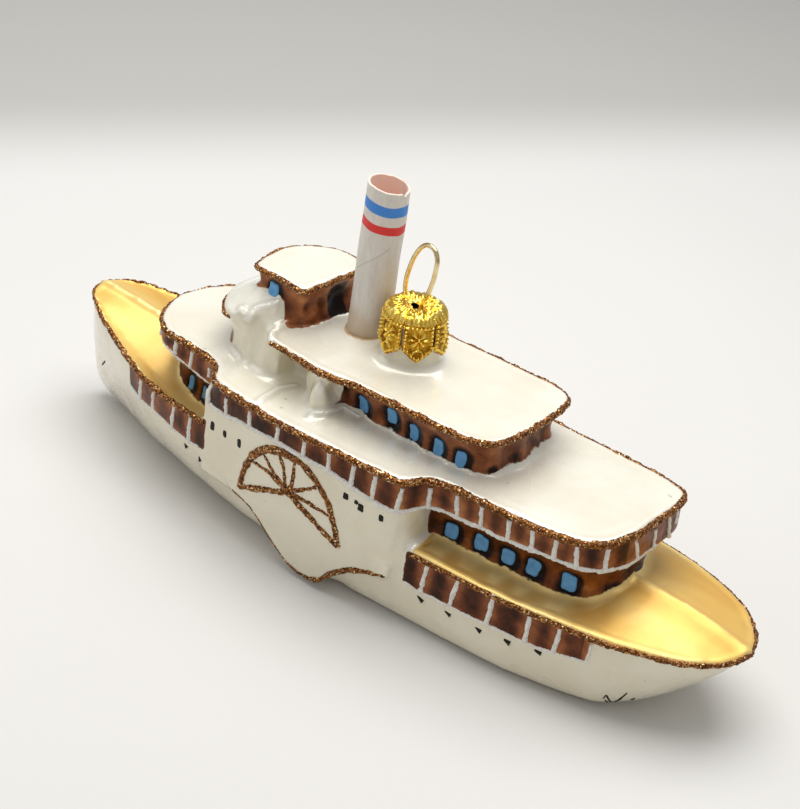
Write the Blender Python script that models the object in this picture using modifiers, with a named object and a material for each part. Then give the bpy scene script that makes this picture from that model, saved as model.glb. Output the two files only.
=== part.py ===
"""Blown glass paddle steamer ornament: painted body, paper funnel, stamped crown cap and wire loop.

Run with blender --background --python part.py, or from the text editor. Sizes below are millimetres, and
MM turns them into metres. +X points to the bow, +Y to port and +Z up. The origin is under the middle of
the hull.
"""

import math

import bmesh
import bpy
from mathutils import Matrix, Vector

MM = 0.001
# Clear gap between a piece and what it sits on, and how far the body's own forms run into each other
SEAT_GAP = 0.3
FORM_LAP = 0.6

# Overall sizes of the glass body
PROMENADE_TOP = 30.15
BAND_HEIGHT = 5.25
UPPER_ROOF_TOP = 38.5
UPPER_ROOF_THICK = 1.6
WHEELHOUSE_TOP = 47.35
WHEELHOUSE_ROOF_THICK = 1.1
EDGE_ROUND = 0.55

# Hull stations, bow to stern: x, half beam, rim height, bottom height, half width of the flat bottom,
# deck height at 0.8 of the half beam, deck height in the middle
HULL_STATIONS = (
    (72.3, 1.1, 24.6, 6.0, 0.5, 24.4, 24.5),
    (70.8, 4.0, 24.6, 3.0, 1.2, 24.0, 24.7),
    (67.0, 6.9, 24.1, 0.8, 2.2, 23.2, 24.4),
    (62.0, 9.4, 22.9, 0.0, 3.2, 21.8, 23.6),
    (55.0, 12.3, 21.6, 0.0, 4.2, 20.5, 22.6),
    (48.0, 14.8, 20.7, 0.0, 4.8, 19.4, 21.2),
    (42.0, 16.5, 20.4, 0.0, 5.2, 17.6, 19.0),
    (36.0, 17.6, 20.5, 0.0, 5.5, 16.4, 17.2),
    (27.0, 18.6, 20.9, 0.0, 5.5, 16.2, 17.0),
    (8.0, 18.8, 18.6, 0.0, 5.5, 18.0, 18.0),
    (-8.0, 18.6, 17.0, 0.0, 5.5, 16.4, 16.4),
    (-20.0, 18.3, 16.5, 0.0, 5.5, 15.8, 16.2),
    (-35.0, 17.9, 16.4, 0.0, 5.2, 15.8, 16.2),
    (-43.0, 16.9, 16.4, 0.0, 4.8, 15.9, 17.0),
    (-52.0, 15.5, 16.4, 0.0, 4.2, 16.6, 19.6),
    (-59.0, 13.4, 16.3, 1.2, 3.4, 16.7, 18.9),
    (-65.5, 10.4, 16.1, 4.8, 2.4, 16.4, 17.6),
    (-69.5, 6.8, 16.0, 8.8, 1.6, 16.1, 16.6),
    (-71.5, 3.8, 16.0, 11.6, 1.0, 16.0, 16.2),
    (-72.3, 1.4, 16.0, 13.0, 0.5, 16.0, 16.0),
)
BILGE_POWER = 2.5
BILGE_STEPS = 7
DECK_FRACTIONS = (0.93, 0.8, 0.45)

# Half outlines seen from above, bow to stern: x, half width
PROMENADE_OUTLINE = (
    (52.2, 0.0), (51.6, 3.3), (50.2, 6.8), (48.4, 9.4), (46.0, 11.6), (43.0, 12.8), (38.0, 13.3),
    (31.0, 13.9), (28.6, 15.6), (26.0, 17.9), (21.0, 19.7), (12.5, 20.9), (2.0, 20.9), (-8.0, 20.5),
    (-14.2, 20.3), (-15.6, 18.6), (-17.2, 15.9), (-19.5, 14.9), (-34.0, 14.5), (-42.0, 13.7),
    (-46.0, 12.4), (-48.5, 9.6), (-50.0, 5.6), (-50.6, 0.0),
)
UPPER_ROOF_OUTLINE = (
    (22.8, 0.0), (22.6, 9.6), (21.6, 12.1), (18.0, 12.8), (13.5, 13.3), (9.5, 13.9), (6.5, 13.6),
    (2.5, 12.9), (-20.0, 12.8), (-23.6, 12.1), (-25.6, 10.0), (-26.8, 6.0), (-27.2, 0.0),
)
WHEELHOUSE_ROOF_OUTLINE = (
    (30.0, 0.0), (29.9, 5.6), (29.2, 6.7), (28.0, 6.9), (20.4, 7.1), (19.2, 6.9), (18.6, 5.8), (18.5, 0.0),
)
FORWARD_HOUSE_OUTLINE = (
    (47.0, 0.0), (46.3, 4.0), (44.5, 7.5), (42.0, 9.3), (36.0, 10.2), (27.0, 10.6), (26.0, 0.0),
)
AFT_HOUSE_OUTLINE = (
    (-12.0, 0.0), (-12.0, 11.8), (-30.0, 11.7), (-42.0, 11.0), (-45.5, 9.8), (-47.6, 7.2), (-48.8, 3.6),
    (-49.2, 0.0),
)
SPONSON_OUTLINE = (
    (27.6, 0.0), (27.6, 15.9), (25.6, 17.8), (21.0, 19.4), (12.5, 20.6), (2.0, 20.6), (-8.0, 20.2),
    (-13.9, 20.0), (-15.2, 18.4), (-16.6, 15.8), (-16.6, 0.0),
)
SPONSON_BOTTOM = 9.4
SPONSON_ROUND = 0.9
HOUSE_FOOT_FORE = 14.0
HOUSE_FOOT_AFT = 13.0

# Housing that hangs below each paddle box, bow to stern: x, bottom height
WHEEL_BOX = (
    (17.6, 9.2), (16.2, 8.6), (13.4, 6.4), (11.1, 4.2), (8.4, 2.2), (6.1, 1.1), (3.6, 0.75), (1.6, 0.9),
    (-0.6, 1.7), (-3.0, 4.3), (-6.6, 7.0), (-10.4, 8.6), (-12.6, 9.1),
)
WHEEL_BOX_TOP = 12.0
WHEEL_BOX_INSET = 0.4

# Upper saloon, whose walls lean out to the roof: x, half width at the deck, half width at the roof
SALOON_STATIONS = (
    (4.6, 8.9, 12.0), (-8.0, 9.7, 12.0), (-20.0, 10.3, 11.9), (-23.6, 8.8, 10.4), (-25.0, 5.0, 6.8),
)
# Plain block at the saloon's forward end: fore face, aft face, half width
FORE_BLOCK = (13.2, 3.6, 12.3)
RECESS_WALL_HALF = 7.2

# Bridge front: x, half width at the deck, half width and height of its shoulder, half width and height of its
# crest, height in the middle
BRIDGE_STATIONS = (
    (38.0, 3.2, 2.8, 37.2, 2.2, 38.3, 38.4),
    (36.6, 7.2, 6.8, 37.3, 6.1, 38.5, 39.3),
    (34.8, 9.6, 9.3, 37.4, 8.7, 38.6, 40.4),
    (32.8, 11.4, 11.1, 37.5, 10.5, 38.8, 41.6),
    (30.6, 12.3, 11.9, 37.8, 11.3, 39.1, 42.6),
    (28.6, 12.6, 11.8, 38.3, 11.0, 39.6, 42.9),
    (26.6, 12.6, 11.4, 38.4, 10.1, 40.2, 42.9),
    (25.0, 12.5, 11.0, 38.2, 8.7, 41.2, 42.9),
    (23.9, 12.4, 11.0, 38.0, 7.5, 42.2, 42.7),
    (22.9, 12.3, 11.2, 37.8, 6.8, 40.4, 40.8),
    (22.1, 12.2, 11.3, 37.4, 6.6, 38.0, 38.1),
    (19.4, 12.0, 11.3, 37.0, 6.4, 37.9, 37.95),
)
# Share of the crest's half width at which the bridge's top is level
BRIDGE_CROWN_SHARE = 0.6
# Wheelhouse walls: fore face, aft face, half width, how much wider they are at the roof
WHEELHOUSE_WALLS = (28.9, 19.9, 6.0, 0.5)
WHEELHOUSE_ROUND = 0.4
# Doorway in the aft wall: starboard edge, port edge, foot, head, depth
DOORWAY = (-4.6, 0.4, 38.9, 45.2, 2.2)

# Neck, cap and hanging loop
NECK_RADIUS = 5.1
NECK_BORE = 4.2
NECK_TOP = 48.8
NECK_BORE_BOTTOM = 31.5
NECK_FOOT = 36.0
# Soft rise of the roof: middle x, half length, half width, height
ROOF_SWELL = (4.6, 14.5, 8.0, 2.4)
ROOF_SWELL_SUNK = 0.25
CAP_PETALS = 6
CAP_FACING_DEG = 135.0
# Radius, height
CAP_PROFILE = (
    (2.75, 50.0), (4.4, 50.05), (5.5, 49.6), (6.15, 48.5), (6.3, 46.5), (6.35, 44.0), (6.5, 41.7),
    (6.05, 41.7), (5.9, 44.0), (5.8, 46.5), (5.65, 48.2), (5.2, 49.15), (4.3, 49.55), (2.75, 49.55),
)
# Opening between two petals: distance from its middle, height
CAP_NOTCH = (
    (-0.2, 47.2), (0.2, 47.2), (0.35, 44.4), (2.6, 41.3), (2.6, 40.9), (-2.6, 40.9), (-2.6, 41.3),
    (-0.35, 44.4),
)
CAP_NOTCH_REACH = (4.9, 8.0)
LOOP_TURN_DEG = -16.0
WIRE_RADIUS = 0.45
LOOP_HALF_WIDTH = 3.8
LOOP_TOP = 61.2
LOOP_CENTRE_Z = 57.4
LOOP_STEPS = 14
# Each leg's half width and height at its foot and at the cap's hole, how it bows, and where it spreads
# to the loop
LEG_HALF_AT_HOLE = 1.95
LEG_HALF_AT_FOOT = 3.1
LEG_HOLE_Z = 51.0
LEG_FOOT_Z = 33.5
LEG_BOW = 0.7
LEG_STEPS = 8
LEG_SPREAD = ((2.35, 52.3), (2.95, 53.8), (3.5, 55.4))
LIFT_AXIS_X = 0.0

# Paper funnel
FUNNEL_X = 10.6
FUNNEL_Y = -1.8
FUNNEL_FOOT_Z = 41.0
FUNNEL_LENGTH = 26.4
FUNNEL_RADIUS = 3.7
FUNNEL_WALL = 0.45
FUNNEL_RAKE_DEG = 1.7
FUNNEL_PAD_RADIUS = 5.0
FUNNEL_PAD_SPREAD = 1.2
# Ring of glue: width, height, height of its thin outer edge, lowest point
GLUE_WIDTH = 0.5
GLUE_HEIGHT = 0.4
GLUE_EDGE = 0.15
GLUE_LOW = 0.1

# Raised lines
GLITTER_RADIUS = 0.55
GLITTER_OUT = 0.78
GLITTER_UP = 0.42
RELIEF_RADIUS = 0.35
RIM_BOW_END = 29.5
RIM_STERN_END = -20.5
ROOF_LINE_FORE = 18.5
BRIDGE_LINE_AFT = 30.0
FAN_CENTRE = (7.5, 12.4)
FAN_HALF_WIDTH = 11.2
FAN_HEIGHT = 11.5
FAN_HUB = (7.6, 16.4)
FAN_STEPS = 22
FAN_SPOKES_DEG = (34.0, 56.0, 80.0, 106.0, 136.0, 160.0)
SPOKE_SHARE = 0.8
# Line along each paddle box's lower edge: its height over the edge, and its ends on the box above
BOX_LINE_INSET = 0.7
BOX_LINE_FORE = ((20.6, 10.9), (18.4, 10.5))
BOX_LINE_AFT = ((-13.2, 10.6),)
# White relief lines: spacing of the dividers, height of the lower line over the band's edge, how far the
# dividers stop below the deck, where the line ends fore and aft
DIVIDER_SPACING = 4.9
RELIEF_LOW = 0.35
RELIEF_TOP_GAP = 1.0
RELIEF_END = 47.0
DIVIDER_SHARE = 0.9

# Name, base colour, roughness, metallic
MATERIALS = {
    "pearl_glass": ((0.86, 0.85, 0.80), 0.18, 0.0),
    "copper_glitter": ((0.36, 0.17, 0.06), 0.45, 0.6),
    "white_relief": ((0.88, 0.87, 0.83), 0.5, 0.0),
    "gilt_cap": ((0.90, 0.62, 0.12), 0.25, 1.0),
    "brass_wire": ((0.78, 0.60, 0.26), 0.22, 1.0),
    "funnel_paper": ((0.90, 0.88, 0.85), 0.6, 0.0),
    "amber_glue": ((0.72, 0.50, 0.26), 0.3, 0.0),
}


def clear_scene():
    for obj in list(bpy.data.objects):
        bpy.data.objects.remove(obj, do_unlink=True)


def make_collection(name):
    collection = bpy.data.collections.new(name)
    bpy.context.scene.collection.children.link(collection)
    return collection


def make_material(name):
    colour, roughness, metallic = MATERIALS[name]
    material = bpy.data.materials.new(name)
    material.use_nodes = True
    shader = material.node_tree.nodes["Principled BSDF"]
    shader.inputs["Base Color"].default_value = (*colour, 1.0)
    shader.inputs["Roughness"].default_value = roughness
    shader.inputs["Metallic"].default_value = metallic
    return material


def add_object(name, data, collection):
    obj = bpy.data.objects.new(name, data)
    collection.objects.link(obj)
    return obj


def mesh_from(name, bm):
    bmesh.ops.recalc_face_normals(bm, faces=bm.faces)
    mesh = bpy.data.meshes.new(name)
    bm.to_mesh(mesh)
    bm.free()
    return mesh


def loft(name, rings, collection):
    """One closed solid through rings of equal length, given in millimetres, with a face on each end."""
    bm = bmesh.new()
    loops = [[bm.verts.new(Vector(point) * MM) for point in ring] for ring in rings]
    for first, second in zip(loops, loops[1:]):
        for i in range(len(first)):
            j = (i + 1) % len(first)
            bm.faces.new((first[i], first[j], second[j], second[i]))
    bm.faces.new(loops[0])
    bm.faces.new(loops[-1])
    return add_object(name, mesh_from(name, bm), collection)


def curve_to_mesh(obj, collection):
    """The curve's evaluated mesh with its caps welded on. The curve is removed."""
    name = obj.name
    bpy.context.view_layer.update()
    evaluated = obj.evaluated_get(bpy.context.evaluated_depsgraph_get())
    mesh = bpy.data.meshes.new_from_object(evaluated)
    placed = obj.matrix_world.copy()
    bpy.data.objects.remove(obj, do_unlink=True)
    bm = bmesh.new()
    bm.from_mesh(mesh)
    bmesh.ops.remove_doubles(bm, verts=bm.verts, dist=0.000002)
    bmesh.ops.recalc_face_normals(bm, faces=bm.faces)
    bm.to_mesh(mesh)
    bm.free()
    made = add_object(name, mesh, collection)
    made.name = name
    made.matrix_world = placed
    return made


def both_sides(half_outline):
    """The whole outline, anticlockwise from above, of a half that starts and ends at the middle."""
    port = [(x, y) for x, y in half_outline]
    starboard = [(x, -y) for x, y in reversed(half_outline) if y > 0]
    return starboard + port if half_outline[0][0] < half_outline[-1][0] else port + starboard


def slab(name, half_outline, low_z, high_z, collection, rounding=EDGE_ROUND):
    """A flat outline with thickness, its edges rounded."""
    curve = bpy.data.curves.new(name, "CURVE")
    curve.dimensions = "2D"
    curve.fill_mode = "BOTH"
    curve.extrude = (high_z - low_z) / 2 * MM
    outline = both_sides(half_outline)
    spline = curve.splines.new("POLY")
    spline.points.add(len(outline) - 1)
    for point, (x, y) in zip(spline.points, outline):
        point.co = (x * MM, y * MM, 0.0, 1.0)
    spline.use_cyclic_u = True
    obj = add_object(name, curve, collection)
    obj.location.z = (low_z + high_z) / 2 * MM
    made = curve_to_mesh(obj, collection)
    if rounding:
        bevel = made.modifiers.new("soft edge", "BEVEL")
        bevel.width = rounding * MM
        bevel.segments = 2
        bevel.limit_method = "ANGLE"
        bevel.angle_limit = math.radians(60)
    return made


def tube(name, points, radius, collection, closed=False, sides=2):
    """A round line through points in millimetres, as a polyline with filled ends."""
    curve = bpy.data.curves.new(name, "CURVE")
    curve.dimensions = "3D"
    curve.bevel_depth = radius * MM
    curve.bevel_resolution = sides
    curve.use_fill_caps = not closed
    spline = curve.splines.new("POLY")
    spline.points.add(len(points) - 1)
    for item, (x, y, z) in zip(spline.points, points):
        item.co = (x * MM, y * MM, z * MM, 1.0)
    spline.use_cyclic_u = closed
    return add_object(name, curve, collection)


def turned(name, profile, centre, steps, collection, closed=True):
    """A profile of (radius, z) pairs turned about a vertical axis. The profile runs down its outer side."""
    bm = bmesh.new()
    verts = [bm.verts.new((radius * MM, 0.0, z * MM)) for radius, z in profile]
    for first, second in zip(verts, verts[1:]):
        bm.edges.new((first, second))
    if closed:
        bm.edges.new((verts[-1], verts[0]))
    mesh = bpy.data.meshes.new(name)
    bm.to_mesh(mesh)
    bm.free()
    obj = add_object(name, mesh, collection)
    obj.location = Vector(centre) * MM
    screw = obj.modifiers.new("turn", "SCREW")
    screw.steps = steps
    screw.render_steps = steps
    screw.use_merge_vertices = True
    screw.merge_threshold = 0.00005
    screw.use_smooth_shade = True
    return obj


def boolean(target, other, operation):
    """Joins or cuts target with other, which becomes a hidden helper."""
    modifier = target.modifiers.new(f"{operation.lower()} {other.name}", "BOOLEAN")
    modifier.operation = operation
    modifier.object = other
    modifier.solver = "EXACT"
    other.hide_render = True
    other.display_type = "WIRE"


def hull_ring(station):
    """One cross-section of the hull: port rim, round the bilge, flat bottom, starboard rim and the deck."""
    x, beam, rim_z, bottom_z, flat, side_z, ridge_z = station
    port = []
    for step in range(BILGE_STEPS + 1):
        angle = math.radians(90) * step / BILGE_STEPS
        out = math.cos(angle) ** (2 / BILGE_POWER) if step < BILGE_STEPS else 0.0
        down = math.sin(angle) ** (2 / BILGE_POWER)
        port.append((x, flat + (beam - flat) * out, rim_z - (rim_z - bottom_z) * down))
    starboard = [(x, -y, z) for _, y, z in reversed(port)]
    near, side, middle = DECK_FRACTIONS
    port_deck = [
        (x, -beam * near, (rim_z + side_z) / 2),
        (x, -beam * side, side_z),
        (x, -beam * middle, side_z + (ridge_z - side_z) * 0.3),
    ]
    starboard_deck = [(x, -y, z) for _, y, z in reversed(port_deck)]
    return port + starboard + port_deck + [(x, 0.0, ridge_z)] + starboard_deck


def half_at(half_outline, x):
    """Half width of an outline at x."""
    for first, second in zip(half_outline, half_outline[1:]):
        if first[0] > x >= second[0]:
            share = (first[0] - x) / (first[0] - second[0])
            return first[1] + (second[1] - first[1]) * share
    return 0.0


def make_wheel_box(collection):
    """Housing that hangs below both paddle boxes, drawn right across the hull."""
    rings = []
    for x, low in WHEEL_BOX:
        half = half_at(SPONSON_OUTLINE, x) - WHEEL_BOX_INSET
        rings.append([(x, half, low), (x, half, WHEEL_BOX_TOP), (x, -half, WHEEL_BOX_TOP), (x, -half, low)])
    return loft("wheel box shape", rings, collection)


def keep_primitive(name, collection):
    """The new primitive, named and moved to its collection."""
    obj = bpy.context.object
    obj.name = name
    for old in list(obj.users_collection):
        old.objects.unlink(obj)
    collection.objects.link(obj)
    return obj


def make_box(name, low, high, collection):
    bm = bmesh.new()
    bmesh.ops.create_cube(bm, size=1.0)
    size = Vector(high) - Vector(low)
    middle = (Vector(high) + Vector(low)) / 2
    bmesh.ops.scale(bm, vec=size * MM, verts=bm.verts)
    bmesh.ops.translate(bm, vec=middle * MM, verts=bm.verts)
    return add_object(name, mesh_from(name, bm), collection)


def make_saloon(collection):
    """Upper saloon whose walls lean out from the deck to the roof."""
    low = PROMENADE_TOP - FORM_LAP
    high = UPPER_ROOF_TOP - FORM_LAP
    rings = []
    for x, at_deck, at_roof in SALOON_STATIONS:
        rings.append([(x, at_roof, high), (x, at_deck, low), (x, -at_deck, low), (x, -at_roof, high)])
    return loft("saloon shape", rings, collection)


def make_bridge(collection):
    """Rounded bridge front that rises to the wheelhouse and falls to the roof behind it."""
    low = PROMENADE_TOP - FORM_LAP
    rings = []
    for x, foot, shoulder, shoulder_z, crest, crest_z, middle_z in BRIDGE_STATIONS:
        crown = (x, crest * BRIDGE_CROWN_SHARE, middle_z)
        port = [(x, foot, low), (x, shoulder, shoulder_z), (x, crest, crest_z), crown]
        rings.append(port + [(x, -y, z) for _, y, z in reversed(port)])
    return loft("bridge shape", rings, collection)


def make_wheelhouse_walls(collection):
    fore, aft, half, lean = WHEELHOUSE_WALLS
    low = UPPER_ROOF_TOP - FORM_LAP
    high = WHEELHOUSE_TOP - FORM_LAP
    rings = []
    for z, spread in ((low, 0.0), (high, lean)):
        rings.append([
            (fore + spread, half + spread, z), (aft - spread, half + spread, z),
            (aft - spread, -half - spread, z), (fore + spread, -half - spread, z),
        ])
    return loft("wheelhouse shape", rings, collection)


def make_roof_swell(collection):
    """Soft rise of the upper roof round the neck and the funnel's foot."""
    x, half_length, half_width, rise = ROOF_SWELL
    bpy.ops.mesh.primitive_uv_sphere_add(segments=32, ring_count=16, radius=MM)
    swell = keep_primitive("roof swell shape", collection)
    swell.data.transform(Matrix.Diagonal((half_length, half_width, rise, 1.0)))
    swell.data.transform(Matrix.Translation(Vector((x, 0.0, UPPER_ROOF_TOP - ROOF_SWELL_SUNK)) * MM))
    return swell


def make_glass_body(parts, shapes):
    """The whole blown body: hull, decks, houses and neck in one."""
    body = loft("glass_body", [hull_ring(station) for station in HULL_STATIONS], parts)
    band_low = PROMENADE_TOP - BAND_HEIGHT
    sponson_top = band_low + SPONSON_ROUND + FORM_LAP
    joined = [
        slab("sponson shape", SPONSON_OUTLINE, SPONSON_BOTTOM, sponson_top, shapes, SPONSON_ROUND),
        make_wheel_box(shapes),
        slab("forward house shape", FORWARD_HOUSE_OUTLINE, HOUSE_FOOT_FORE, band_low + FORM_LAP, shapes, 0),
        slab("aft house shape", AFT_HOUSE_OUTLINE, HOUSE_FOOT_AFT, band_low + FORM_LAP, shapes, 0),
        slab("promenade shape", PROMENADE_OUTLINE, band_low, PROMENADE_TOP, shapes),
        make_saloon(shapes),
        make_box(
            "fore block shape",
            (FORE_BLOCK[1], -FORE_BLOCK[2], PROMENADE_TOP - FORM_LAP),
            (FORE_BLOCK[0], FORE_BLOCK[2], UPPER_ROOF_TOP - FORM_LAP),
            shapes,
        ),
        make_box(
            "recess wall shape",
            (FORE_BLOCK[1] + FORM_LAP, -RECESS_WALL_HALF, PROMENADE_TOP - FORM_LAP),
            (BRIDGE_STATIONS[-1][0] + FORM_LAP, RECESS_WALL_HALF, UPPER_ROOF_TOP - FORM_LAP),
            shapes,
        ),
        make_bridge(shapes),
        slab(
            "upper roof shape", UPPER_ROOF_OUTLINE, UPPER_ROOF_TOP - UPPER_ROOF_THICK, UPPER_ROOF_TOP, shapes,
        ),
        make_roof_swell(shapes),
        turned(
            "funnel pad shape",
            ((0.0, FUNNEL_FOOT_Z - SEAT_GAP), (FUNNEL_PAD_RADIUS, FUNNEL_FOOT_Z - SEAT_GAP),
             (FUNNEL_PAD_RADIUS + FUNNEL_PAD_SPREAD, UPPER_ROOF_TOP - FORM_LAP),
             (0.0, UPPER_ROOF_TOP - FORM_LAP)),
            (FUNNEL_X, FUNNEL_Y, 0.0), 32, shapes, closed=False,
        ),
        make_wheelhouse_walls(shapes),
        slab(
            "wheelhouse roof shape",
            WHEELHOUSE_ROOF_OUTLINE,
            WHEELHOUSE_TOP - WHEELHOUSE_ROOF_THICK,
            WHEELHOUSE_TOP,
            shapes,
            WHEELHOUSE_ROUND,
        ),
        turned(
            "neck shape",
            ((0.0, NECK_TOP), (NECK_RADIUS, NECK_TOP), (NECK_RADIUS, NECK_FOOT), (0.0, NECK_FOOT)),
            (LIFT_AXIS_X, 0.0, 0.0), 32, shapes, closed=False,
        ),
    ]
    for shape in joined:
        boolean(body, shape, "UNION")
    bore = turned(
        "neck bore cutter",
        ((0.0, NECK_TOP + 2), (NECK_BORE, NECK_TOP + 2), (NECK_BORE, NECK_BORE_BOTTOM),
         (0.0, NECK_BORE_BOTTOM)),
        (LIFT_AXIS_X, 0.0, 0.0), 32, shapes, closed=False,
    )
    low_y, high_y, low_z, high_z, depth = DOORWAY
    aft = WHEELHOUSE_WALLS[1]
    doorway = make_box("doorway cutter", (aft - 2, low_y, low_z), (aft + depth, high_y, high_z), shapes)
    boolean(body, bore, "DIFFERENCE")
    boolean(body, doorway, "DIFFERENCE")
    body.data.materials.append(MADE["pearl_glass"])
    return body


def outward(points, out, closed):
    """Points of a flat line moved sideways to their right by out, with mitred corners."""
    moved = []
    count = len(points)
    for i, (x, y, *rest) in enumerate(points):
        before = points[(i - 1) % count] if closed or i > 0 else points[i]
        after = points[(i + 1) % count] if closed or i < count - 1 else points[i]
        normals = []
        for first, second in ((before, points[i]), (points[i], after)):
            run = Vector((second[0] - first[0], second[1] - first[1]))
            if run.length > 1e-6:
                normals.append(Vector((run.y, -run.x)).normalized())
        normal = sum(normals, Vector((0.0, 0.0))).normalized()
        share = max(0.6, normal.dot(normals[0]))
        moved.append((x + normal.x * out / share, y + normal.y * out / share, *rest))
    return moved


def edge_line(name, half_outline, top_z, collection):
    """A glitter line that rides just outside the whole top edge of a slab."""
    placed = outward(both_sides(half_outline), GLITTER_OUT, True)
    points = [(x, y, top_z + GLITTER_UP) for x, y in placed]
    return finish_line(tube(name, points, GLITTER_RADIUS, collection, closed=True), "copper_glitter")


def end_line(name, port, collection):
    """A glitter line round one end of the ship. port runs from its open end on the port side inwards."""
    line = port + [(x, -y, z) for x, y, z in reversed(port) if y > 0]
    out = GLITTER_OUT if port[0][0] > port[-1][0] else -GLITTER_OUT
    points = [(x, y, z + GLITTER_UP) for x, y, z in outward(line, out, False)]
    return finish_line(tube(name, points, GLITTER_RADIUS, collection), "copper_glitter")


def finish_line(obj, material):
    obj.data.materials.append(MADE[material])
    return obj


def station_at(x):
    """Half-beam and rim height between the two stations beside x."""
    for first, second in zip(HULL_STATIONS, HULL_STATIONS[1:]):
        if first[0] >= x >= second[0]:
            share = (first[0] - x) / (first[0] - second[0])
            return [a + (b - a) * share for a, b in zip(first, second)]
    return list(HULL_STATIONS[-1])


def make_rims(parts):
    """Glitter along the hull's rim, round the bow and round the stern."""
    fore = [station for station in HULL_STATIONS if station[0] > RIM_BOW_END + 1]
    aft = [station for station in HULL_STATIONS if station[0] < RIM_STERN_END - 1]
    bow = fore + [station_at(RIM_BOW_END)]
    stern = [station_at(RIM_STERN_END)] + aft
    end_line("rim_glitter_bow", [station[:3] for station in reversed(bow)], parts)
    end_line("rim_glitter_stern", [station[:3] for station in stern], parts)


def make_deck_lines(parts):
    """Glitter along the edges of the promenade deck, both roofs and the bridge front."""
    edge_line("promenade_glitter", PROMENADE_OUTLINE, PROMENADE_TOP, parts)
    edge_line("wheelhouse_glitter", WHEELHOUSE_ROOF_OUTLINE, WHEELHOUSE_TOP, parts)
    roof = [(x, y, UPPER_ROOF_TOP) for x, y in UPPER_ROOF_OUTLINE if x < ROOF_LINE_FORE]
    end_line("upper_roof_glitter", roof, parts)
    fore = [station for station in BRIDGE_STATIONS if station[0] > BRIDGE_LINE_AFT]
    front = [(x, shoulder, shoulder_z) for x, _, shoulder, shoulder_z, *_ in fore]
    end_line("bridge_glitter", front[::-1], parts)


def join_tubes(name, tubes, parts, shapes, material):
    """One solid from tubes that cross each other."""
    made = [curve_to_mesh(item, shapes) for item in tubes]
    first = made[0]
    for other in made[1:]:
        boolean(first, other, "UNION")
    shapes.objects.unlink(first)
    parts.objects.link(first)
    first.name = name
    first.data.materials.append(MADE[material])
    return first


def fan_point(degrees, y):
    """Point of the half wheel's rim, counted from its forward end."""
    angle = math.radians(degrees)
    x = FAN_CENTRE[0] + FAN_HALF_WIDTH * math.cos(angle)
    return (x, y, FAN_CENTRE[1] + FAN_HEIGHT * math.sin(angle))


def make_wheel_fans(parts, shapes):
    """Half wheel drawn in glitter on each paddle box."""
    y_out = SPONSON_OUTLINE[4][1] + SEAT_GAP + GLITTER_RADIUS
    for side, name in ((1, "wheel_fan_port"), (-1, "wheel_fan_starboard")):
        y = side * y_out
        hub = (FAN_HUB[0], y, FAN_HUB[1])
        arc = [fan_point(180 * step / FAN_STEPS, y) for step in range(FAN_STEPS + 1)]
        base = [arc[0], hub, arc[-1]]
        lines = [
            tube(f"{name} rim", arc, GLITTER_RADIUS, shapes),
            tube(f"{name} base", base, GLITTER_RADIUS, shapes),
        ]
        for index, degrees in enumerate(FAN_SPOKES_DEG):
            spoke = [hub, fan_point(degrees, y)]
            lines.append(tube(f"{name} spoke {index}", spoke, GLITTER_RADIUS * SPOKE_SHARE, shapes))
        join_tubes(name, lines, parts, shapes, "copper_glitter")


def make_box_curves(parts):
    """Glitter curve along each paddle box's lower edge, which dips round the wheel."""
    dip = [(x, low + BOX_LINE_INSET) for x, low in WHEEL_BOX if low + BOX_LINE_INSET < SPONSON_BOTTOM]
    for side, name in ((1, "box_line_port"), (-1, "box_line_starboard")):
        points = []
        for x, z in (*BOX_LINE_FORE, *dip, *BOX_LINE_AFT):
            face = half_at(SPONSON_OUTLINE, x)
            if z < SPONSON_BOTTOM - SPONSON_ROUND:
                face -= WHEEL_BOX_INSET
            points.append((x, side * (face + SEAT_GAP + GLITTER_RADIUS), z))
        finish_line(tube(name, points, GLITTER_RADIUS, parts), "copper_glitter")


def make_funnel(parts):
    """Rolled paper tube and the ring of glue at its foot, both leaning a little aft."""
    lean = Matrix.Rotation(math.radians(-FUNNEL_RAKE_DEG), 4, "Y")
    inner = FUNNEL_RADIUS - FUNNEL_WALL
    funnel = turned(
        "funnel_tube",
        ((FUNNEL_RADIUS, FUNNEL_LENGTH), (FUNNEL_RADIUS, 0.0), (inner, 0.0), (inner, FUNNEL_LENGTH)),
        (0.0, 0.0, 0.0), 40, parts,
    )
    glue_in = FUNNEL_RADIUS + SEAT_GAP
    glue = turned(
        "funnel_glue",
        (
            (glue_in, GLUE_HEIGHT), (glue_in + GLUE_WIDTH, GLUE_EDGE),
            (glue_in + GLUE_WIDTH, GLUE_LOW), (glue_in, GLUE_LOW),
        ),
        (0.0, 0.0, 0.0), 40, parts,
    )
    foot = Matrix.Translation(Vector((FUNNEL_X, FUNNEL_Y, FUNNEL_FOOT_Z)) * MM)
    for obj, material in ((funnel, "funnel_paper"), (glue, "amber_glue")):
        obj.matrix_world = foot @ lean
        obj.data.materials.append(MADE[material])


def make_cap(parts, shapes, axis_empty):
    """Stamped crown cap: a thin cup with pointed petals round its skirt."""
    cap = turned("hanger_cap", CAP_PROFILE, (LIFT_AXIS_X, 0.0, 0.0), 48, parts)
    for index in range(CAP_PETALS):
        angle = math.radians(CAP_FACING_DEG + (index + 0.5) * 360 / CAP_PETALS)
        rings = []
        for radius in CAP_NOTCH_REACH:
            ring = []
            for along, z in CAP_NOTCH:
                spot = Vector((radius, along))
                spot.rotate(Matrix.Rotation(angle, 2))
                ring.append((LIFT_AXIS_X + spot.x, spot.y, z))
            rings.append(ring)
        boolean(cap, loft(f"cap notch cutter {index}", rings, shapes), "DIFFERENCE")
    cap.data.materials.append(MADE["gilt_cap"])
    keep_place(cap, axis_empty)
    return cap


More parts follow.
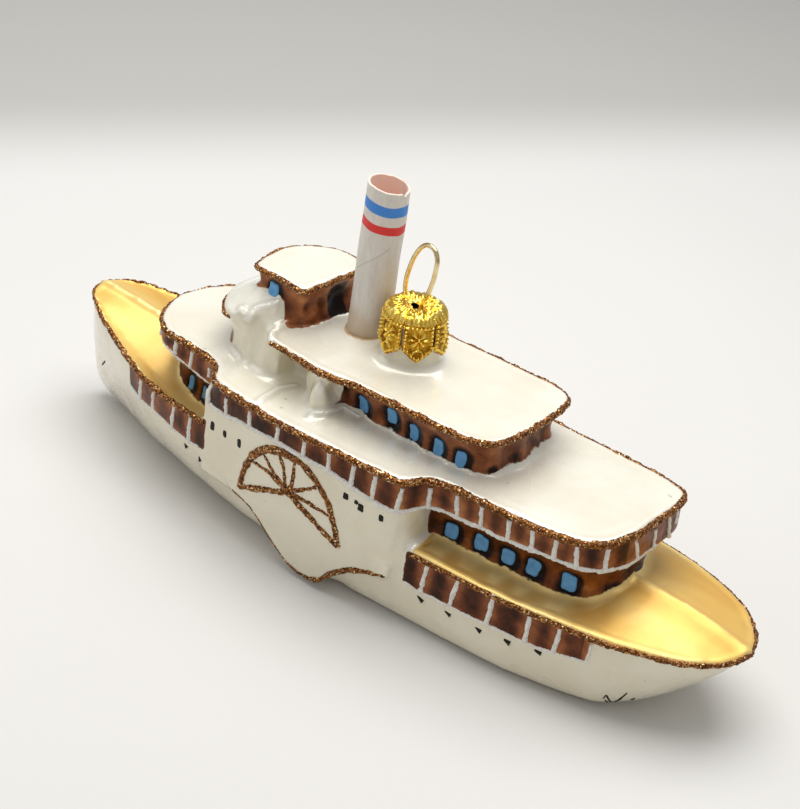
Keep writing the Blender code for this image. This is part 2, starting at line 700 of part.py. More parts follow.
def keep_place(obj, parent):
    bpy.context.view_layer.update()
    obj.parent = parent
    obj.matrix_parent_inverse = parent.matrix_world.inverted()


def loop_points():
    """Wire route in its own plane: up one leg, round the loop and down the other."""
    leg = []
    for step in range(LEG_STEPS + 1):
        share = step / LEG_STEPS
        z = LEG_FOOT_Z + (LEG_HOLE_Z - LEG_FOOT_Z) * share
        leg.append((LEG_HALF_AT_FOOT + (LEG_HALF_AT_HOLE - LEG_HALF_AT_FOOT) * share ** LEG_BOW, z))
    height = LOOP_TOP - LOOP_CENTRE_Z
    arc = []
    for step in range(LOOP_STEPS + 1):
        angle = math.pi * step / LOOP_STEPS
        arc.append((LOOP_HALF_WIDTH * math.cos(angle), LOOP_CENTRE_Z + height * math.sin(angle)))
    side = leg + list(LEG_SPREAD)
    return side + arc + [(-u, z) for u, z in reversed(side)]


def make_loop(parts, axis_empty):
    turn = math.radians(LOOP_TURN_DEG)
    points = []
    for u, z in loop_points():
        points.append((LIFT_AXIS_X + u * math.cos(turn), u * math.sin(turn), z))
    wire = tube("hanger_wire", points, WIRE_RADIUS, parts)
    wire.data.materials.append(MADE["brass_wire"])
    keep_place(wire, axis_empty)
    return wire


def make_relief_rails(parts, shapes):
    """White raised lines on the band: one along its lower edge and short dividers above it."""
    low_z = PROMENADE_TOP - BAND_HEIGHT + RELIEF_LOW
    high_z = PROMENADE_TOP - RELIEF_TOP_GAP
    out = RELIEF_RADIUS + SEAT_GAP
    half = [p for p in PROMENADE_OUTLINE if abs(p[0]) < RELIEF_END]
    for side, name in ((1, "relief_rail_port"), (-1, "relief_rail_starboard")):
        line = [(x, side * y) for x, y in half]
        placed = outward(line, out * side, False)
        lower = [(x, y, low_z) for x, y in placed]
        tubes = [tube(f"{name} lower", lower, RELIEF_RADIUS, shapes, sides=1)]
        walked = 0.0
        next_mark = DIVIDER_SPACING / 2
        for first, second in zip(placed, placed[1:]):
            run = Vector(second) - Vector(first)
            while next_mark < walked + run.length:
                spot = Vector(first) + run * ((next_mark - walked) / run.length)
                stroke = [(spot.x, spot.y, low_z), (spot.x, spot.y, high_z)]
                radius = RELIEF_RADIUS * DIVIDER_SHARE
                tubes.append(tube(f"{name} divider {len(tubes)}", stroke, radius, shapes, sides=1))
                next_mark += DIVIDER_SPACING
            walked += run.length
        join_tubes(name, tubes, parts, shapes, "white_relief")


clear_scene()
MADE = {name: make_material(name) for name in MATERIALS}
PARTS = make_collection("paddle_steamer_ornament")
SHAPES = make_collection("helpers")

LIFT_AXIS = bpy.data.objects.new("hanger lift axis", None)
LIFT_AXIS.location = Vector((LIFT_AXIS_X, 0.0, NECK_TOP)) * MM
PARTS.objects.link(LIFT_AXIS)

make_glass_body(PARTS, SHAPES)
make_deck_lines(PARTS)
make_rims(PARTS)
make_wheel_fans(PARTS, SHAPES)
make_box_curves(PARTS)
make_relief_rails(PARTS, SHAPES)
make_funnel(PARTS)
make_cap(PARTS, SHAPES, LIFT_AXIS)
make_loop(PARTS, LIFT_AXIS)
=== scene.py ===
"""Hand-painted blown glass paddle steamer ornament on a pale table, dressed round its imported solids.

Tables are in millimetres in the ornament's own frame: +X to the bow, +Y to port, +Z up from the table.
"""

import math

import bpy
import numpy as np
from mathutils import Matrix, Vector, noise
from mathutils.bvhtree import BVHTree


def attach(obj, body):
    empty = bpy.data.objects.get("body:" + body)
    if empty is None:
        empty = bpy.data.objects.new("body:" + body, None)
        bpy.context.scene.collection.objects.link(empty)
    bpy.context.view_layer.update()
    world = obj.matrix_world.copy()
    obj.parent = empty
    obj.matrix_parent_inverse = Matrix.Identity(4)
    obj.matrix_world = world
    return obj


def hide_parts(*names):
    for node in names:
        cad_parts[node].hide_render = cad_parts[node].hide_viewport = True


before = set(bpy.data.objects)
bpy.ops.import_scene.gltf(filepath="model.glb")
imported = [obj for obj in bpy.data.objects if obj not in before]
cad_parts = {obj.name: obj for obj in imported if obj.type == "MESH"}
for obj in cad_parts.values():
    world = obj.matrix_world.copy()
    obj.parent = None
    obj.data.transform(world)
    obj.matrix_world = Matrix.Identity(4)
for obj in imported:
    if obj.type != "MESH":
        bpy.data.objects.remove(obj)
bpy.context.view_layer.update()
# The same wander of every bead in each run
noise.seed_set(1)

MM = 0.001

# Light and table
WORLD_STRENGTH = 0.42
# Name, place, target, width, height, watts, colour
LIGHTS = (
    ("overhead softbox", (45, -70, 400), (0, 0, 10), 400, 400, 1.8, (1.0, 0.985, 0.95)),
    ("bow side window", (330, 180, 200), (0, 0, 20), 260, 260, 0.15, (0.95, 0.97, 1.0)),
    ("camera side fill", (-300, 260, 260), (0, 0, 20), 260, 260, 0.05, (1.0, 0.98, 0.95)),
)
TABLE_SIZE = 12000.0
# Painted shade: the paper turns grey away from the camera: the way, then from and to in metres
TABLE_SHADE_WAY = (0.789, -0.614, 0.0)
TABLE_SHADE = (0.150, 0.203)
PEARL = (0.93, 0.90, 0.78, 1.0)
PEARL_SHADE = (0.87, 0.82, 0.68, 1.0)
# Painted shade: upright walls of the pearl glass are multiplied by this colour, so they are darker than the
# tops
PEARL_WALL_SHADE = (0.86, 0.83, 0.75, 1.0)
PEARL_METALLIC = 0.15

# The photograph's viewpoint
EYE = (-162.30, 250.66, 210.42)
AZIMUTH = 213.04
ELEVATION = 31.22
ROLL = 7.61
FOCAL_PIXELS = 2000.0
LONG_SIDE_PIXELS = 809.0

# Glass body levels
PROMENADE_TOP = 30.15
PROMENADE_LOW = 25.0
ROOF_TOP = 38.5
ROOF_LOW = 36.9
WHEELHOUSE_TOP = 47.35
WHEELHOUSE_LOW = 46.2

# x, half beam, rim height, bottom height, half width of the flat, deck height at the side and in the
# middle, how square the section is
HULL = np.array((
    (-72.60, 0.0, 16.0, 15.3, 0.0, 16.0, 16.0, 2.0),
    (-72.30, 1.6, 16.0, 14.9, 0.5, 16.0, 16.0, 2.0),
    (-71.5, 3.9, 16.0, 13.8, 1.0, 15.9, 16.2, 2.0),
    (-69.5, 6.9, 16.0, 11.2, 1.6, 15.9, 16.7, 2.2),
    (-65.5, 10.4, 16.1, 7.0, 2.4, 16.2, 17.7, 2.2),
    (-59.0, 13.4, 16.2, 2.4, 3.4, 16.5, 18.6, 3.2),
    (-52.0, 15.5, 16.2, 0.1, 4.2, 16.6, 18.8, 4.6),
    (-43.0, 16.9, 16.2, 0.0, 6.0, 16.6, 17.8, 5.8),
    (-35.0, 17.9, 16.2, 0.0, 8.0, 16.6, 17.4, 6.0),
    (-20.0, 18.3, 16.3, 0.0, 9.0, 16.6, 17.4, 6.0),
    (-8.0, 18.6, 17.0, 0.0, 9.0, 16.4, 16.4, 6.0),
    (8.0, 18.8, 18.6, 0.0, 7.0, 18.0, 18.0, 4.5),
    (27.0, 18.6, 20.9, 0.0, 5.5, 16.2, 17.8, 2.7),
    (36.0, 17.6, 20.5, 0.0, 5.3, 16.4, 18.2, 2.2),
    (42.0, 16.5, 20.4, 0.0, 4.8, 17.6, 20.2, 1.9),
    (48.0, 14.8, 20.7, 0.0, 4.6, 19.2, 22.0, 1.8),
    (55.0, 12.3, 21.6, 0.0, 2.9, 20.4, 23.2, 1.65),
    (62.0, 9.4, 22.9, 0.2, 1.0, 21.9, 24.0, 1.65),
    (67.0, 6.9, 24.1, 0.9, 0.5, 23.2, 24.4, 1.7),
    (70.8, 4.0, 24.6, 3.2, 0.4, 24.0, 24.7, 2.2),
    (72.2, 1.7, 24.6, 4.8, 0.35, 24.4, 24.6, 2.5),
    (72.55, 0.0, 24.6, 6.2, 0.0, 24.5, 24.6, 2.5),
))
DECK_FALL = 0.44
DECK_SHARES = (0.0, 0.45, 0.8, 0.93, 1.0)
FLAT_SHARE = 0.88
HULL_SIDES = 96
HULL_RINGS = 150

# Half outlines seen from above, bow to stern: x, half width
PROMENADE = (
    (52.2, 0.0), (51.6, 3.3), (50.2, 6.8), (48.4, 9.4), (46.0, 11.4), (43.0, 12.5), (37.0, 12.9),
    (33.0, 13.4), (31.2, 14.0), (29.8, 15.0), (28.8, 16.8), (27.6, 18.5), (25.6, 19.2), (21.0, 19.9),
    (12.5, 20.9), (2.0, 20.9), (-8.0, 20.5), (-14.2, 20.3), (-15.6, 18.6), (-17.2, 15.9), (-19.5, 14.9),
    (-34.0, 14.5), (-42.0, 13.7), (-46.0, 12.4), (-48.5, 9.6), (-50.0, 5.6), (-50.6, 0.0),
)
# The same outline at the foot of the painted band, where the paddle box keeps a sharp forward corner
PROMENADE_FOOT = (
    (52.2, 0.0), (51.6, 3.3), (50.2, 6.8), (48.4, 9.6), (46.0, 11.8), (43.0, 13.0), (38.0, 13.4),
    (33.8, 13.6), (32.2, 14.0), (31.0, 15.0), (30.2, 16.6), (29.4, 18.0), (27.0, 18.6), (21.0, 19.7),
    (12.5, 20.9), (2.0, 20.9), (-8.0, 20.5), (-14.2, 20.3), (-15.6, 18.6), (-17.2, 15.9), (-19.5, 14.9),
    (-34.0, 14.5), (-42.0, 13.7), (-46.0, 12.4), (-48.5, 9.6), (-50.0, 5.6), (-50.6, 0.0),
)
UPPER_ROOF = (
    (22.8, 0.0), (22.7, 6.0), (22.6, 10.4), (21.6, 12.2), (18.0, 12.8), (13.5, 13.3), (9.5, 14.0),
    (6.5, 13.8), (2.5, 12.9), (-10.0, 12.8), (-20.0, 12.8), (-23.6, 12.1), (-25.6, 10.0), (-26.8, 6.0),
    (-27.2, 0.0),
)
# The wheelhouse leans to starboard, so its outlines are whole
WHEELHOUSE_ROOF = (
    (30.6, 5.9), (31.2, 3.0), (31.5, -0.5), (31.4, -2.4), (30.2, -5.4), (27.5, -8.0), (24.4, -9.7),
    (21.8, -10.0), (19.0, -9.4), (17.2, -7.8), (17.1, -5.0), (17.6, -1.6), (18.0, 2.8), (18.3, 6.4),
    (18.8, 7.6), (20.6, 7.4), (24.0, 6.7), (28.0, 6.6), (29.8, 6.5),
)
FORWARD_HOUSE = (
    (47.0, 0.0), (46.3, 4.0), (44.5, 7.5), (42.0, 9.3), (36.0, 10.2), (27.0, 10.6), (26.0, 0.0),
)
AFT_HOUSE = (
    (-12.0, 0.0), (-12.0, 11.8), (-30.0, 11.7), (-42.0, 11.0), (-45.5, 9.8), (-47.6, 7.2), (-48.8, 3.6),
    (-49.2, 0.0),
)
SPONSON = (
    (30.3, 0.0), (30.3, 17.7), (29.7, 18.2), (27.5, 18.5), (21.0, 19.4), (12.5, 20.6), (2.0, 20.6),
    (-8.0, 20.2), (-13.9, 20.0), (-15.2, 18.4), (-16.6, 15.8), (-16.6, 0.0),
)
SALOON_FOOT = (
    (6.8, 0.0), (6.6, 8.8), (1.0, 9.1), (-5.5, 9.7), (-16.6, 10.4), (-21.8, 10.3), (-24.2, 8.8), (-25.2, 5.6),
    (-25.6, 0.0),
)
SALOON_HEAD = (
    (6.8, 0.0), (6.6, 12.0), (1.0, 12.0), (-5.5, 12.0), (-16.6, 12.0), (-21.8, 11.6), (-24.4, 10.2),
    (-25.8, 6.6), (-26.4, 0.0),
)
FORE_BLOCK = ((13.4, 0.0), (13.2, 11.6), (12.4, 12.3), (7.8, 12.5), (6.3, 12.1), (6.1, 0.0))
RECESS_WALL = ((21.0, 0.0), (21.0, 7.2), (8.0, 7.2), (8.0, 0.0))
WHEELHOUSE_WALL = (
    (29.8, 5.7), (30.2, 0.0), (28.8, -5.0), (26.0, -7.6), (22.5, -8.3), (18.9, -8.0), (17.9, -6.6),
    (17.9, -3.6), (18.5, -0.4), (19.2, 3.0), (19.5, 4.8), (20.4, 5.7), (28.6, 5.9),
)
WHEELHOUSE_HEAD = (
    (30.1, 5.8), (30.5, 0.0), (29.3, -5.3), (26.2, -8.1), (22.4, -8.9), (18.9, -8.6), (17.8, -7.0),
    (17.8, -3.8), (18.3, -0.2), (18.9, 3.2), (19.1, 5.2), (20.2, 6.2), (28.8, 6.3),
)

# Bridge front: x, y and z of the inner shoulder, y and z of the outer shoulder, the height in the middle
# and the half width at the deck
BRIDGE = np.array((
    (19.4, 6.4, 38.0, 11.3, 37.0, 38.0, 12.0),
    (22.1, 6.6, 38.1, 11.3, 37.4, 38.1, 12.2),
    (22.9, 6.8, 40.4, 10.8, 37.8, 40.8, 12.2),
    (23.9, 7.5, 42.2, 9.2, 39.6, 42.7, 12.2),
    (25.0, 8.7, 41.2, 9.5, 39.8, 42.9, 12.2),
    (26.6, 10.1, 40.2, 10.5, 39.1, 42.9, 12.3),
    (28.6, 11.0, 39.6, 11.4, 38.5, 42.9, 12.4),
    (30.6, 11.3, 39.1, 11.6, 38.0, 42.6, 12.2),
    (32.8, 10.5, 38.8, 10.9, 37.7, 41.6, 11.4),
    (34.8, 8.7, 38.6, 9.1, 37.5, 40.4, 9.6),
    (36.4, 6.4, 38.5, 6.9, 37.3, 39.4, 7.4),
    (37.6, 3.6, 38.4, 4.1, 37.2, 38.7, 4.6),
    (38.3, 1.0, 38.2, 1.5, 37.0, 38.3, 2.0),
))
BRIDGE_WALL_Y = 6.0
BRIDGE_WALL_SHARE = 0.85
BRIDGE_FOOT_Z = 29.0
BRIDGE_BASE_Z = 28.0
# How the grid's own width is spread over the bridge front's, close together at the sides
BRIDGE_SPREAD = ((0, 0.7, 1), (0, 0.9, 1))
BRIDGE_LINE_ENDS = (31.8, 38.28)
# How far the bridge front is set back under its roof, and where that starts and is full: heights, then x
UNDERCUT = 2.4
UNDERCUT_TOP = 37.6
UNDERCUT_DROP = 3.2
UNDERCUT_AFT = 25.0
UNDERCUT_RUN = 6.0
# The oval that it is set back from: middle x, half length, half width
BRIDGE_OVAL = (24.0, 14.0, 12.0)

NECK_RADIUS = 5.1
NECK_FOOT = 36.0
NECK_TOP = 48.6
FUNNEL_FOOT = (10.6, -1.8, 41.0)
# A low pad inside the funnel: radius at its foot and at its top
FUNNEL_PAD_RADII = (3.0, 2.6)
ROOF_SWELL_X = 4.6
ROOF_SWELL = (14.5, 8.0, 1.2)
# Pillar beside the recess: centre, half sizes
PILLAR = ((8.2, 12.8, 31.4), (2.2, 2.9, 5.2))
# How far forms reach into one another
FORM_LAP = 0.8
# Lower edge of each paddle box seen from the side: x, z, and how far out its face stands
WHEEL_BOX = (
    (22.0, 12.0), (20.5, 10.4), (16.2, 8.6), (13.4, 6.4), (11.1, 4.2), (8.4, 2.2), (6.1, 1.1), (3.6, 0.75),
    (1.6, 0.9), (-0.6, 1.7), (-3.0, 4.3), (-6.6, 7.0), (-10.4, 8.6), (-13.9, 9.4), (-14.6, 12.0),
)
WHEEL_BOX_FACE = 20.1

# Lower edge of the promenade's painted band: x, z
BAND_LOW = np.array((
    (-54.0, 21.7), (-51.5, 22.7), (-50.0, 23.4), (-48.6, 23.8), (-45.0, 24.5), (-41.0, 24.9), (-37.0, 24.9),
    (-33.0, 24.5), (-27.6, 24.0), (-17.7, 23.8), (-14.5, 23.4), (-9.4, 23.6), (-5.2, 24.2), (0.0, 25.2),
    (11.2, 25.6), (17.8, 25.2), (24.5, 24.4), (30.0, 24.2), (35.0, 24.3), (37.6, 24.6), (40.3, 25.3),
    (43.9, 26.2), (52.2, 26.6),
))
# The mould's starboard aft corners reach further aft than the port ones
SKEW_START = -18.0
SKEW_RUN = 12.0
SKEW_SIDE = 10.0
SKEW_MOST = 1.3
PROMENADE_AFT_SHIFT = 2.7
ROOF_AFT_SHIFT = 1.6

# Painted windows on the port side, mirrored to starboard: x, y, z, width, height, depth of the hollow behind
WINDOWS = (
    (40.2, 9.6, 19.7, 1.5, 3.2, 0.3), (36.5, 10.1, 19.4, 1.5, 3.0, 0.3), (32.6, 10.4, 19.4, 1.8, 3.0, 0.3),
    (-20.6, 11.8, 18.9, 2.9, 3.4, 0.5), (-26.5, 11.7, 19.4, 2.9, 3.4, 0.5),
    (-31.9, 11.6, 19.3, 2.9, 3.4, 0.5), (-36.7, 11.3, 19.5, 2.9, 3.5, 0.5),
    (-43.2, 10.6, 19.5, 3.0, 3.6, 0.5), (1.7, 10.3, 33.0, 2.4, 4.1, 0.9), (-4.7, 10.8, 33.6, 2.4, 4.0, 0.9),
    (-9.4, 10.7, 32.6, 2.4, 4.0, 0.9), (-14.8, 10.9, 32.4, 2.4, 4.1, 0.9), (-19.5, 10.8, 32.1, 2.3, 4.2, 0.9),
    (25.9, 6.2, 43.9, 2.4, 3.0, 0.3),
)
# Windows in the bridge front and the wheelhouse front: x, y, z, width, height, depth of the hollow behind
FRONT_WINDOWS = (
    (36.4, 6.6, 34.8, 2.6, 3.6, 0.2), (37.9, 2.4, 34.6, 2.6, 3.6, 0.2),
    (29.5, 3.4, 44.5, 2.4, 2.6, 0.2), (29.5, 0.0, 44.5, 2.4, 2.6, 0.2),
)
# Black portholes: x, y, z, width, height
PORTHOLES = (
    (27.3, 18.6, 20.3, 1.0, 1.8), (24.0, 18.8, 20.4, 0.85, 1.4), (20.2, 19.4, 20.4, 0.9, 1.7),
    (-4.2, 20.4, 21.9, 1.1, 1.3), (-6.4, 20.3, 21.7, 0.8, 0.8), (-7.4, 20.2, 21.1, 1.2, 1.5),
    (-11.6, 20.1, 21.0, 0.9, 1.3),
)
# Small wedges of black paint along the hull: from x, y, z to x, y, z
WEDGES = (
    ((34.6, 17.3, 12.6), (33.9, 17.3, 11.9)), ((30.3, 17.7, 12.1), (29.9, 17.7, 11.3)),
    ((-19.6, 17.4, 8.3), (-20.8, 17.4, 7.5)), ((-25.3, 17.1, 8.0), (-26.5, 17.1, 7.6)),
    ((-31.5, 16.9, 8.0), (-32.7, 16.9, 7.6)), ((-37.0, 16.7, 8.3), (-38.2, 16.7, 8.0)),
    ((-42.5, 15.9, 8.9), (-43.8, 15.9, 8.7)),
)
# White strokes that divide the painted bands: top x, y, z, bottom x, y, z
DIVIDERS = (
    (47.6, 10.1, 29.3, 47.4, 10.2, 27.0), (42.1, 13.0, 29.4, 41.9, 13.2, 26.4),
    (37.8, 13.1, 28.8, 37.9, 13.4, 25.3), (32.6, 13.6, 27.9, 32.7, 13.8, 26.2),
    (23.9, 18.7, 27.9, 23.9, 18.7, 24.4), (18.0, 20.1, 28.5, 17.8, 20.1, 25.2),
    (11.2, 20.9, 28.6, 11.2, 20.9, 25.7), (5.1, 20.9, 28.7, 5.2, 20.9, 25.5),
    (0.0, 20.8, 29.0, -0.2, 20.8, 25.2), (-5.2, 20.6, 28.8, -5.0, 20.6, 24.2),
    (-9.7, 20.4, 28.7, -9.4, 20.5, 23.6), (-14.7, 19.7, 28.3, -14.4, 20.1, 23.4),
    (-17.6, 15.7, 28.2, -17.7, 15.7, 23.9), (-22.5, 14.8, 28.5, -22.8, 14.8, 24.1),
    (-27.3, 14.7, 28.6, -27.6, 14.7, 24.0), (-32.7, 14.5, 28.7, -32.9, 14.5, 24.5),
    (-37.0, 14.2, 29.0, -37.3, 14.2, 25.0), (-41.3, 13.8, 29.1, -41.3, 13.8, 24.8),
    (-44.7, 12.8, 29.1, -45.0, 12.7, 24.5), (-48.6, 9.2, 28.6, -48.6, 9.4, 23.9),
    (47.9, 14.8, 19.2, 48.8, 14.3, 14.1), (43.8, 16.0, 19.1, 44.3, 15.7, 14.4),
    (37.7, 17.3, 19.2, 38.1, 16.9, 13.9), (33.0, 18.0, 19.3, 33.1, 17.7, 13.6),
    (-20.9, 18.1, 15.9, -20.1, 17.6, 9.4), (-27.1, 18.1, 15.8, -26.1, 17.6, 9.7),
    (-33.9, 17.7, 15.9, -33.5, 17.4, 9.8), (-40.9, 17.1, 15.8, -40.7, 16.7, 9.7),
    (-46.4, 16.4, 15.4, -45.8, 16.0, 10.1),
)
# The same strokes round the promenade's aft end, which differ from side to side
PORT_STROKES = ((-50.2, 3.4, 28.2, -50.4, 1.8, 23.3),)
STARBOARD_STROKES = ((-50.4, -2.4, 27.7, -50.5, -3.7, 21.6), (-51.1, -6.3, 29.1, -51.5, -7.8, 23.3))
# Thin runs of white relief paint under the bow's bands, and thick ones elsewhere: x, y, z
THIN_RUNS = (
    (
        (48.6, 9.0, 26.7), (47.4, 10.2, 26.6), (43.9, 12.8, 26.6), (42.7, 13.2, 26.3), (40.3, 13.4, 25.7),
        (37.3, 13.4, 24.9), (35.0, 13.5, 24.6), (32.6, 13.9, 24.4),
    ),
    (
        (52.6, 13.0, 14.9), (48.1, 14.5, 14.2), (44.6, 15.6, 14.4), (41.4, 16.4, 14.4), (38.4, 17.0, 14.1),
        (35.6, 17.4, 14.0), (33.4, 17.7, 13.8), (30.5, 18.1, 14.2),
    ),
    (
        (-16.9, 17.9, 9.8), (-19.6, 17.7, 9.2), (-23.0, 17.6, 9.4), (-33.5, 17.4, 9.6), (-43.2, 16.5, 9.6),
        (-48.3, 15.9, 10.2), (-51.4, 15.5, 10.7), (-51.8, 15.6, 12.6), (-51.9, 15.7, 14.6),
    ),
)
RELIEF_RUN = (
    (28.6, 17.2, 28.8), (28.9, 17.5, 27.0), (28.8, 18.2, 24.3), (27.6, 18.5, 24.2), (24.5, 18.9, 24.2),
    (20.7, 19.7, 25.0), (17.6, 20.2, 25.2), (14.5, 20.6, 25.4), (11.2, 20.9, 25.6), (5.1, 20.9, 25.4),
    (-0.1, 20.8, 25.2), (-2.8, 20.7, 24.7), (-5.4, 20.6, 24.2), (-9.4, 20.5, 23.6), (-12.1, 20.4, 23.4),
    (-14.5, 19.9, 23.4), (-15.8, 18.2, 23.6), (-17.7, 15.7, 23.8), (-19.7, 14.9, 23.8), (-22.8, 14.8, 24.0),
    (-27.6, 14.7, 24.0), (-32.9, 14.5, 24.4), (-37.3, 14.2, 24.9), (-41.4, 13.8, 24.8), (-45.0, 12.7, 24.5),
    (-47.1, 11.2, 24.0), (-48.6, 9.4, 23.8), (-49.8, 6.3, 23.6), (-50.4, 1.8, 23.2), (-50.6, -0.5, 22.9),
)
# Small black brush marks on the port side: x, y, z
MARKS = (
    ((-54.3, 12.4, 4.2), (-55.0, 12.8, 5.3), (-55.2, 11.2, 3.0)), ((-54.4, 11.9, 3.9), (-54.8, 11.4, 2.8)),
    ((-58.3, 12.3, 6.5), (-57.2, 11.9, 4.7), (-56.5, 12.0, 2.5)), ((-58.7, 10.9, 4.0), (-59.4, 11.1, 4.8)),
    ((64.9, 7.6, 12.2), (66.9, 6.4, 9.9)),
)
RELIEF_RADIUS = 0.5
THIN_RELIEF_RADIUS = 0.26

# Paddle fan on each box: x, z
FAN_HUB = (7.9, 16.8)
FAN_RIM = (
    (18.9, 12.2), (18.7, 14.8), (17.9, 17.4), (16.9, 19.6), (15.1, 21.6), (13.1, 23.0), (11.2, 23.8),
    (9.2, 24.2), (7.1, 24.2), (5.1, 23.8), (3.6, 23.0), (1.8, 21.6), (0.3, 20.3), (-0.9, 18.7), (-1.9, 16.3),
    (-2.9, 13.9), (-3.6, 11.1),
)
FAN_SPOKES = (
    ((16.4, 18.8), (12.2, 18.6)), ((14.2, 21.6), (11.4, 19.2)), ((10.6, 23.4), (9.4, 21.6), (8.6, 17.8)),
    ((7.0, 23.5), (6.9, 21.2), (7.2, 18.4)), ((2.0, 20.7), (4.6, 19.0)), ((-1.2, 16.3), (3.2, 16.9)),
)

# Wheelhouse wall's foot over the bridge front: x, z
WHEELHOUSE_FOOT = np.array((
    (18.0, 38.5), (21.6, 38.7), (22.4, 39.9), (23.1, 42.4), (24.1, 43.2), (27.9, 43.4), (29.5, 42.9),
    (31.0, 42.6),
))
# Lower edges of the painted bands on the hull: x, z
BOW_BAND_LOW = np.array((
    (27.0, 14.5), (29.3, 14.3), (33.4, 13.8), (38.4, 14.2), (44.6, 14.6), (48.1, 14.2), (53.0, 14.8),
))
STERN_BAND_LOW = np.array((
    (-53.0, 10.9), (-50.4, 10.6), (-48.3, 10.2), (-43.2, 9.6), (-33.5, 9.6), (-23.0, 9.4), (-19.6, 9.1),
    (-16.3, 10.0),
))

# Rolled paper funnel
FUNNEL_LENGTH = 26.8
FUNNEL_RADIUS = 3.7
FUNNEL_WALL = 0.4
FUNNEL_RAKE = math.radians(1.7)
BLUE_STRIPE = (22.4, 24.3)
RED_STRIPE = (18.9, 20.6)
STRIPE_EDGE = 0.08
# The tube's top is cut at a slant: how much higher its forward side is, and the way it faces
FUNNEL_SLANT = 0.42
FUNNEL_SLANT_TURN = math.radians(33)
FUNNEL_SUNK = 1.9
FUNNEL_WRAP = 1.06
FUNNEL_LAP = 0.18
FUNNEL_CRUSH = 0.12
FUNNEL_TWIST = 0.02
FUNNEL_EDGE_TURN = math.radians(215)
FUNNEL_TEAR_TURN = math.radians(178)
# The paper's edge climbs from one height to the other over part of a turn
FUNNEL_SEAM = (9.7, 14.9)
FUNNEL_SEAM_TURN = math.radians(38)
FUNNEL_SEAM_RUN = math.radians(85)

# Stamped cap
CAP_PETALS = 6
CAP_FACING = 135.0
CAP_TOP_RINGS = ((1.0, 49.2), (2.0, 49.7), (3.2, 49.95), (4.1, 49.8), (4.8, 49.35), (5.35, 48.7), (5.6, 48.1))
CAP_SKIRT = ((48.1, 5.7), (46.5, 5.9), (44.0, 6.05), (42.3, 6.1), (41.2, 6.15))
CAP_SLIT_TOP = 49.2
CAP_SHOULDER = 43.3
CAP_TIP = 41.3
CAP_TOP_SHARE = 0.34
CAP_FLOWER_Z = 45.6
CAP_BAND_Z = 47.7
CAP_RELIEF = 0.5
CAP_SHEET = 0.3

# The hanging loop as it leans, from one leg's foot in the neck to the other's: distance along its own
# direction, height
LOOP_TURN = math.radians(-16.0)
LOOP_RADIUS = 0.42
LOOP_POINTS = (
    (3.2, 34.2), (3.35, 38.0), (3.05, 42.0), (2.5, 46.0), (2.5, 48.4), (3.19, 49.5), (3.6, 51.1),
    (3.56, 53.2), (3.07, 55.2), (2.41, 57.2), (1.32, 59.3), (0.0, 60.75), (-1.3, 61.3), (-2.4, 61.2),
    (-3.2, 60.6), (-3.66, 59.4), (-3.62, 58.1), (-3.3, 55.7), (-2.62, 53.3), (-1.78, 51.1), (-1.03, 49.5),
    (-0.7, 48.2), (-1.1, 46.0), (-2.3, 42.0), (-3.0, 38.0), (-3.2, 34.2),
)

# Painted shadow: dark patches at the foot of walls: x, y, z, radius
FOOT_SHADOWS = (
    (-26.4, 3.6, 32.2, 2.2), (-27.0, -3.2, 32.4, 2.4), (-27.4, -8.2, 33.4, 1.8), (-25.0, 8.4, 31.6, 1.6),
    (-48.4, 4.6, 18.0, 2.6), (-49.4, -2.6, 18.6, 2.6), (5.4, 11.0, 34.8, 1.5),
)

# Hollows pressed into the walls: x, y, z, radius, depth
HOLLOWS = (
    (17.9, -2.4, 42.4, 2.4, 1.5), (18.9, 4.9, 42.4, 1.1, 0.9), (18.6, 1.9, 42.4, 1.0, 0.8),
    (6.0, 11.9, 34.6, 1.6, 1.2), (-26.0, 5.2, 33.4, 2.2, 0.9), (-26.6, -1.4, 33.6, 2.0, 0.9),
    (-27.6, -7.2, 33.6, 2.0, 0.9), (-23.0, 10.6, 34.0, 1.6, 0.7), (-47.5, 6.0, 20.0, 2.4, 0.7),
    (-49.0, 1.0, 20.0, 2.2, 0.6), (-13.5, 11.8, 19.5, 1.8, 0.8),
)
# Wrinkles and flutes on both sides, raised or pressed in: radius, rise, then points x, y, z. Raised ones
# are sharp creases.
FOLDS = (
    (
        0.7, 0.45,
        ((17.4, 18.4, 30.3), (17.4, 14.9, 30.3), (17.5, 13.5, 30.3), (16.9, 12.1, 30.3), (16.1, 10.6, 30.3)),
    ),
    (
        0.7, 0.45,
        (
            (7.7, 16.5, 30.3), (7.4, 14.4, 30.3), (6.5, 12.2, 30.3), (5.7, 10.2, 30.3), (3.9, 9.5, 30.3),
            (1.9, 9.8, 30.3),
        ),
    ),
    (
        0.8, 0.45,
        ((20.7, 13.8, 38.3), (21.9, 12.9, 38.8), (22.0, 11.0, 39.0), (22.0, 8.5, 38.9), (21.6, 5.1, 38.8)),
    ),
    (
        0.7, 0.5,
        (
            (29.7, 9.5, 38.9), (27.8, 10.2, 38.7), (27.2, 8.9, 39.4), (26.5, 7.8, 40.2), (25.3, 7.3, 40.9),
            (24.6, 6.6, 41.8),
        ),
    ),
    (0.8, 0.3, ((71.0, 0.0, 24.7), (66.0, 0.0, 24.3), (59.0, 0.0, 23.6), (50.0, 0.0, 22.4))),
    (0.8, 0.2, ((-71.5, 0.0, 16.2), (-65.0, 0.0, 17.7), (-57.0, 0.0, 18.7), (-50.0, 0.0, 18.8))),
    (1.6, -0.7, ((29.0, 11.9, 37.0), (28.6, 12.2, 31.2))),
    (1.4, -0.6, ((25.6, 11.4, 37.4), (25.2, 12.3, 31.4))),
    (1.2, -0.4, ((31.9, 11.2, 37.0), (31.0, 10.8, 32.0))),
)

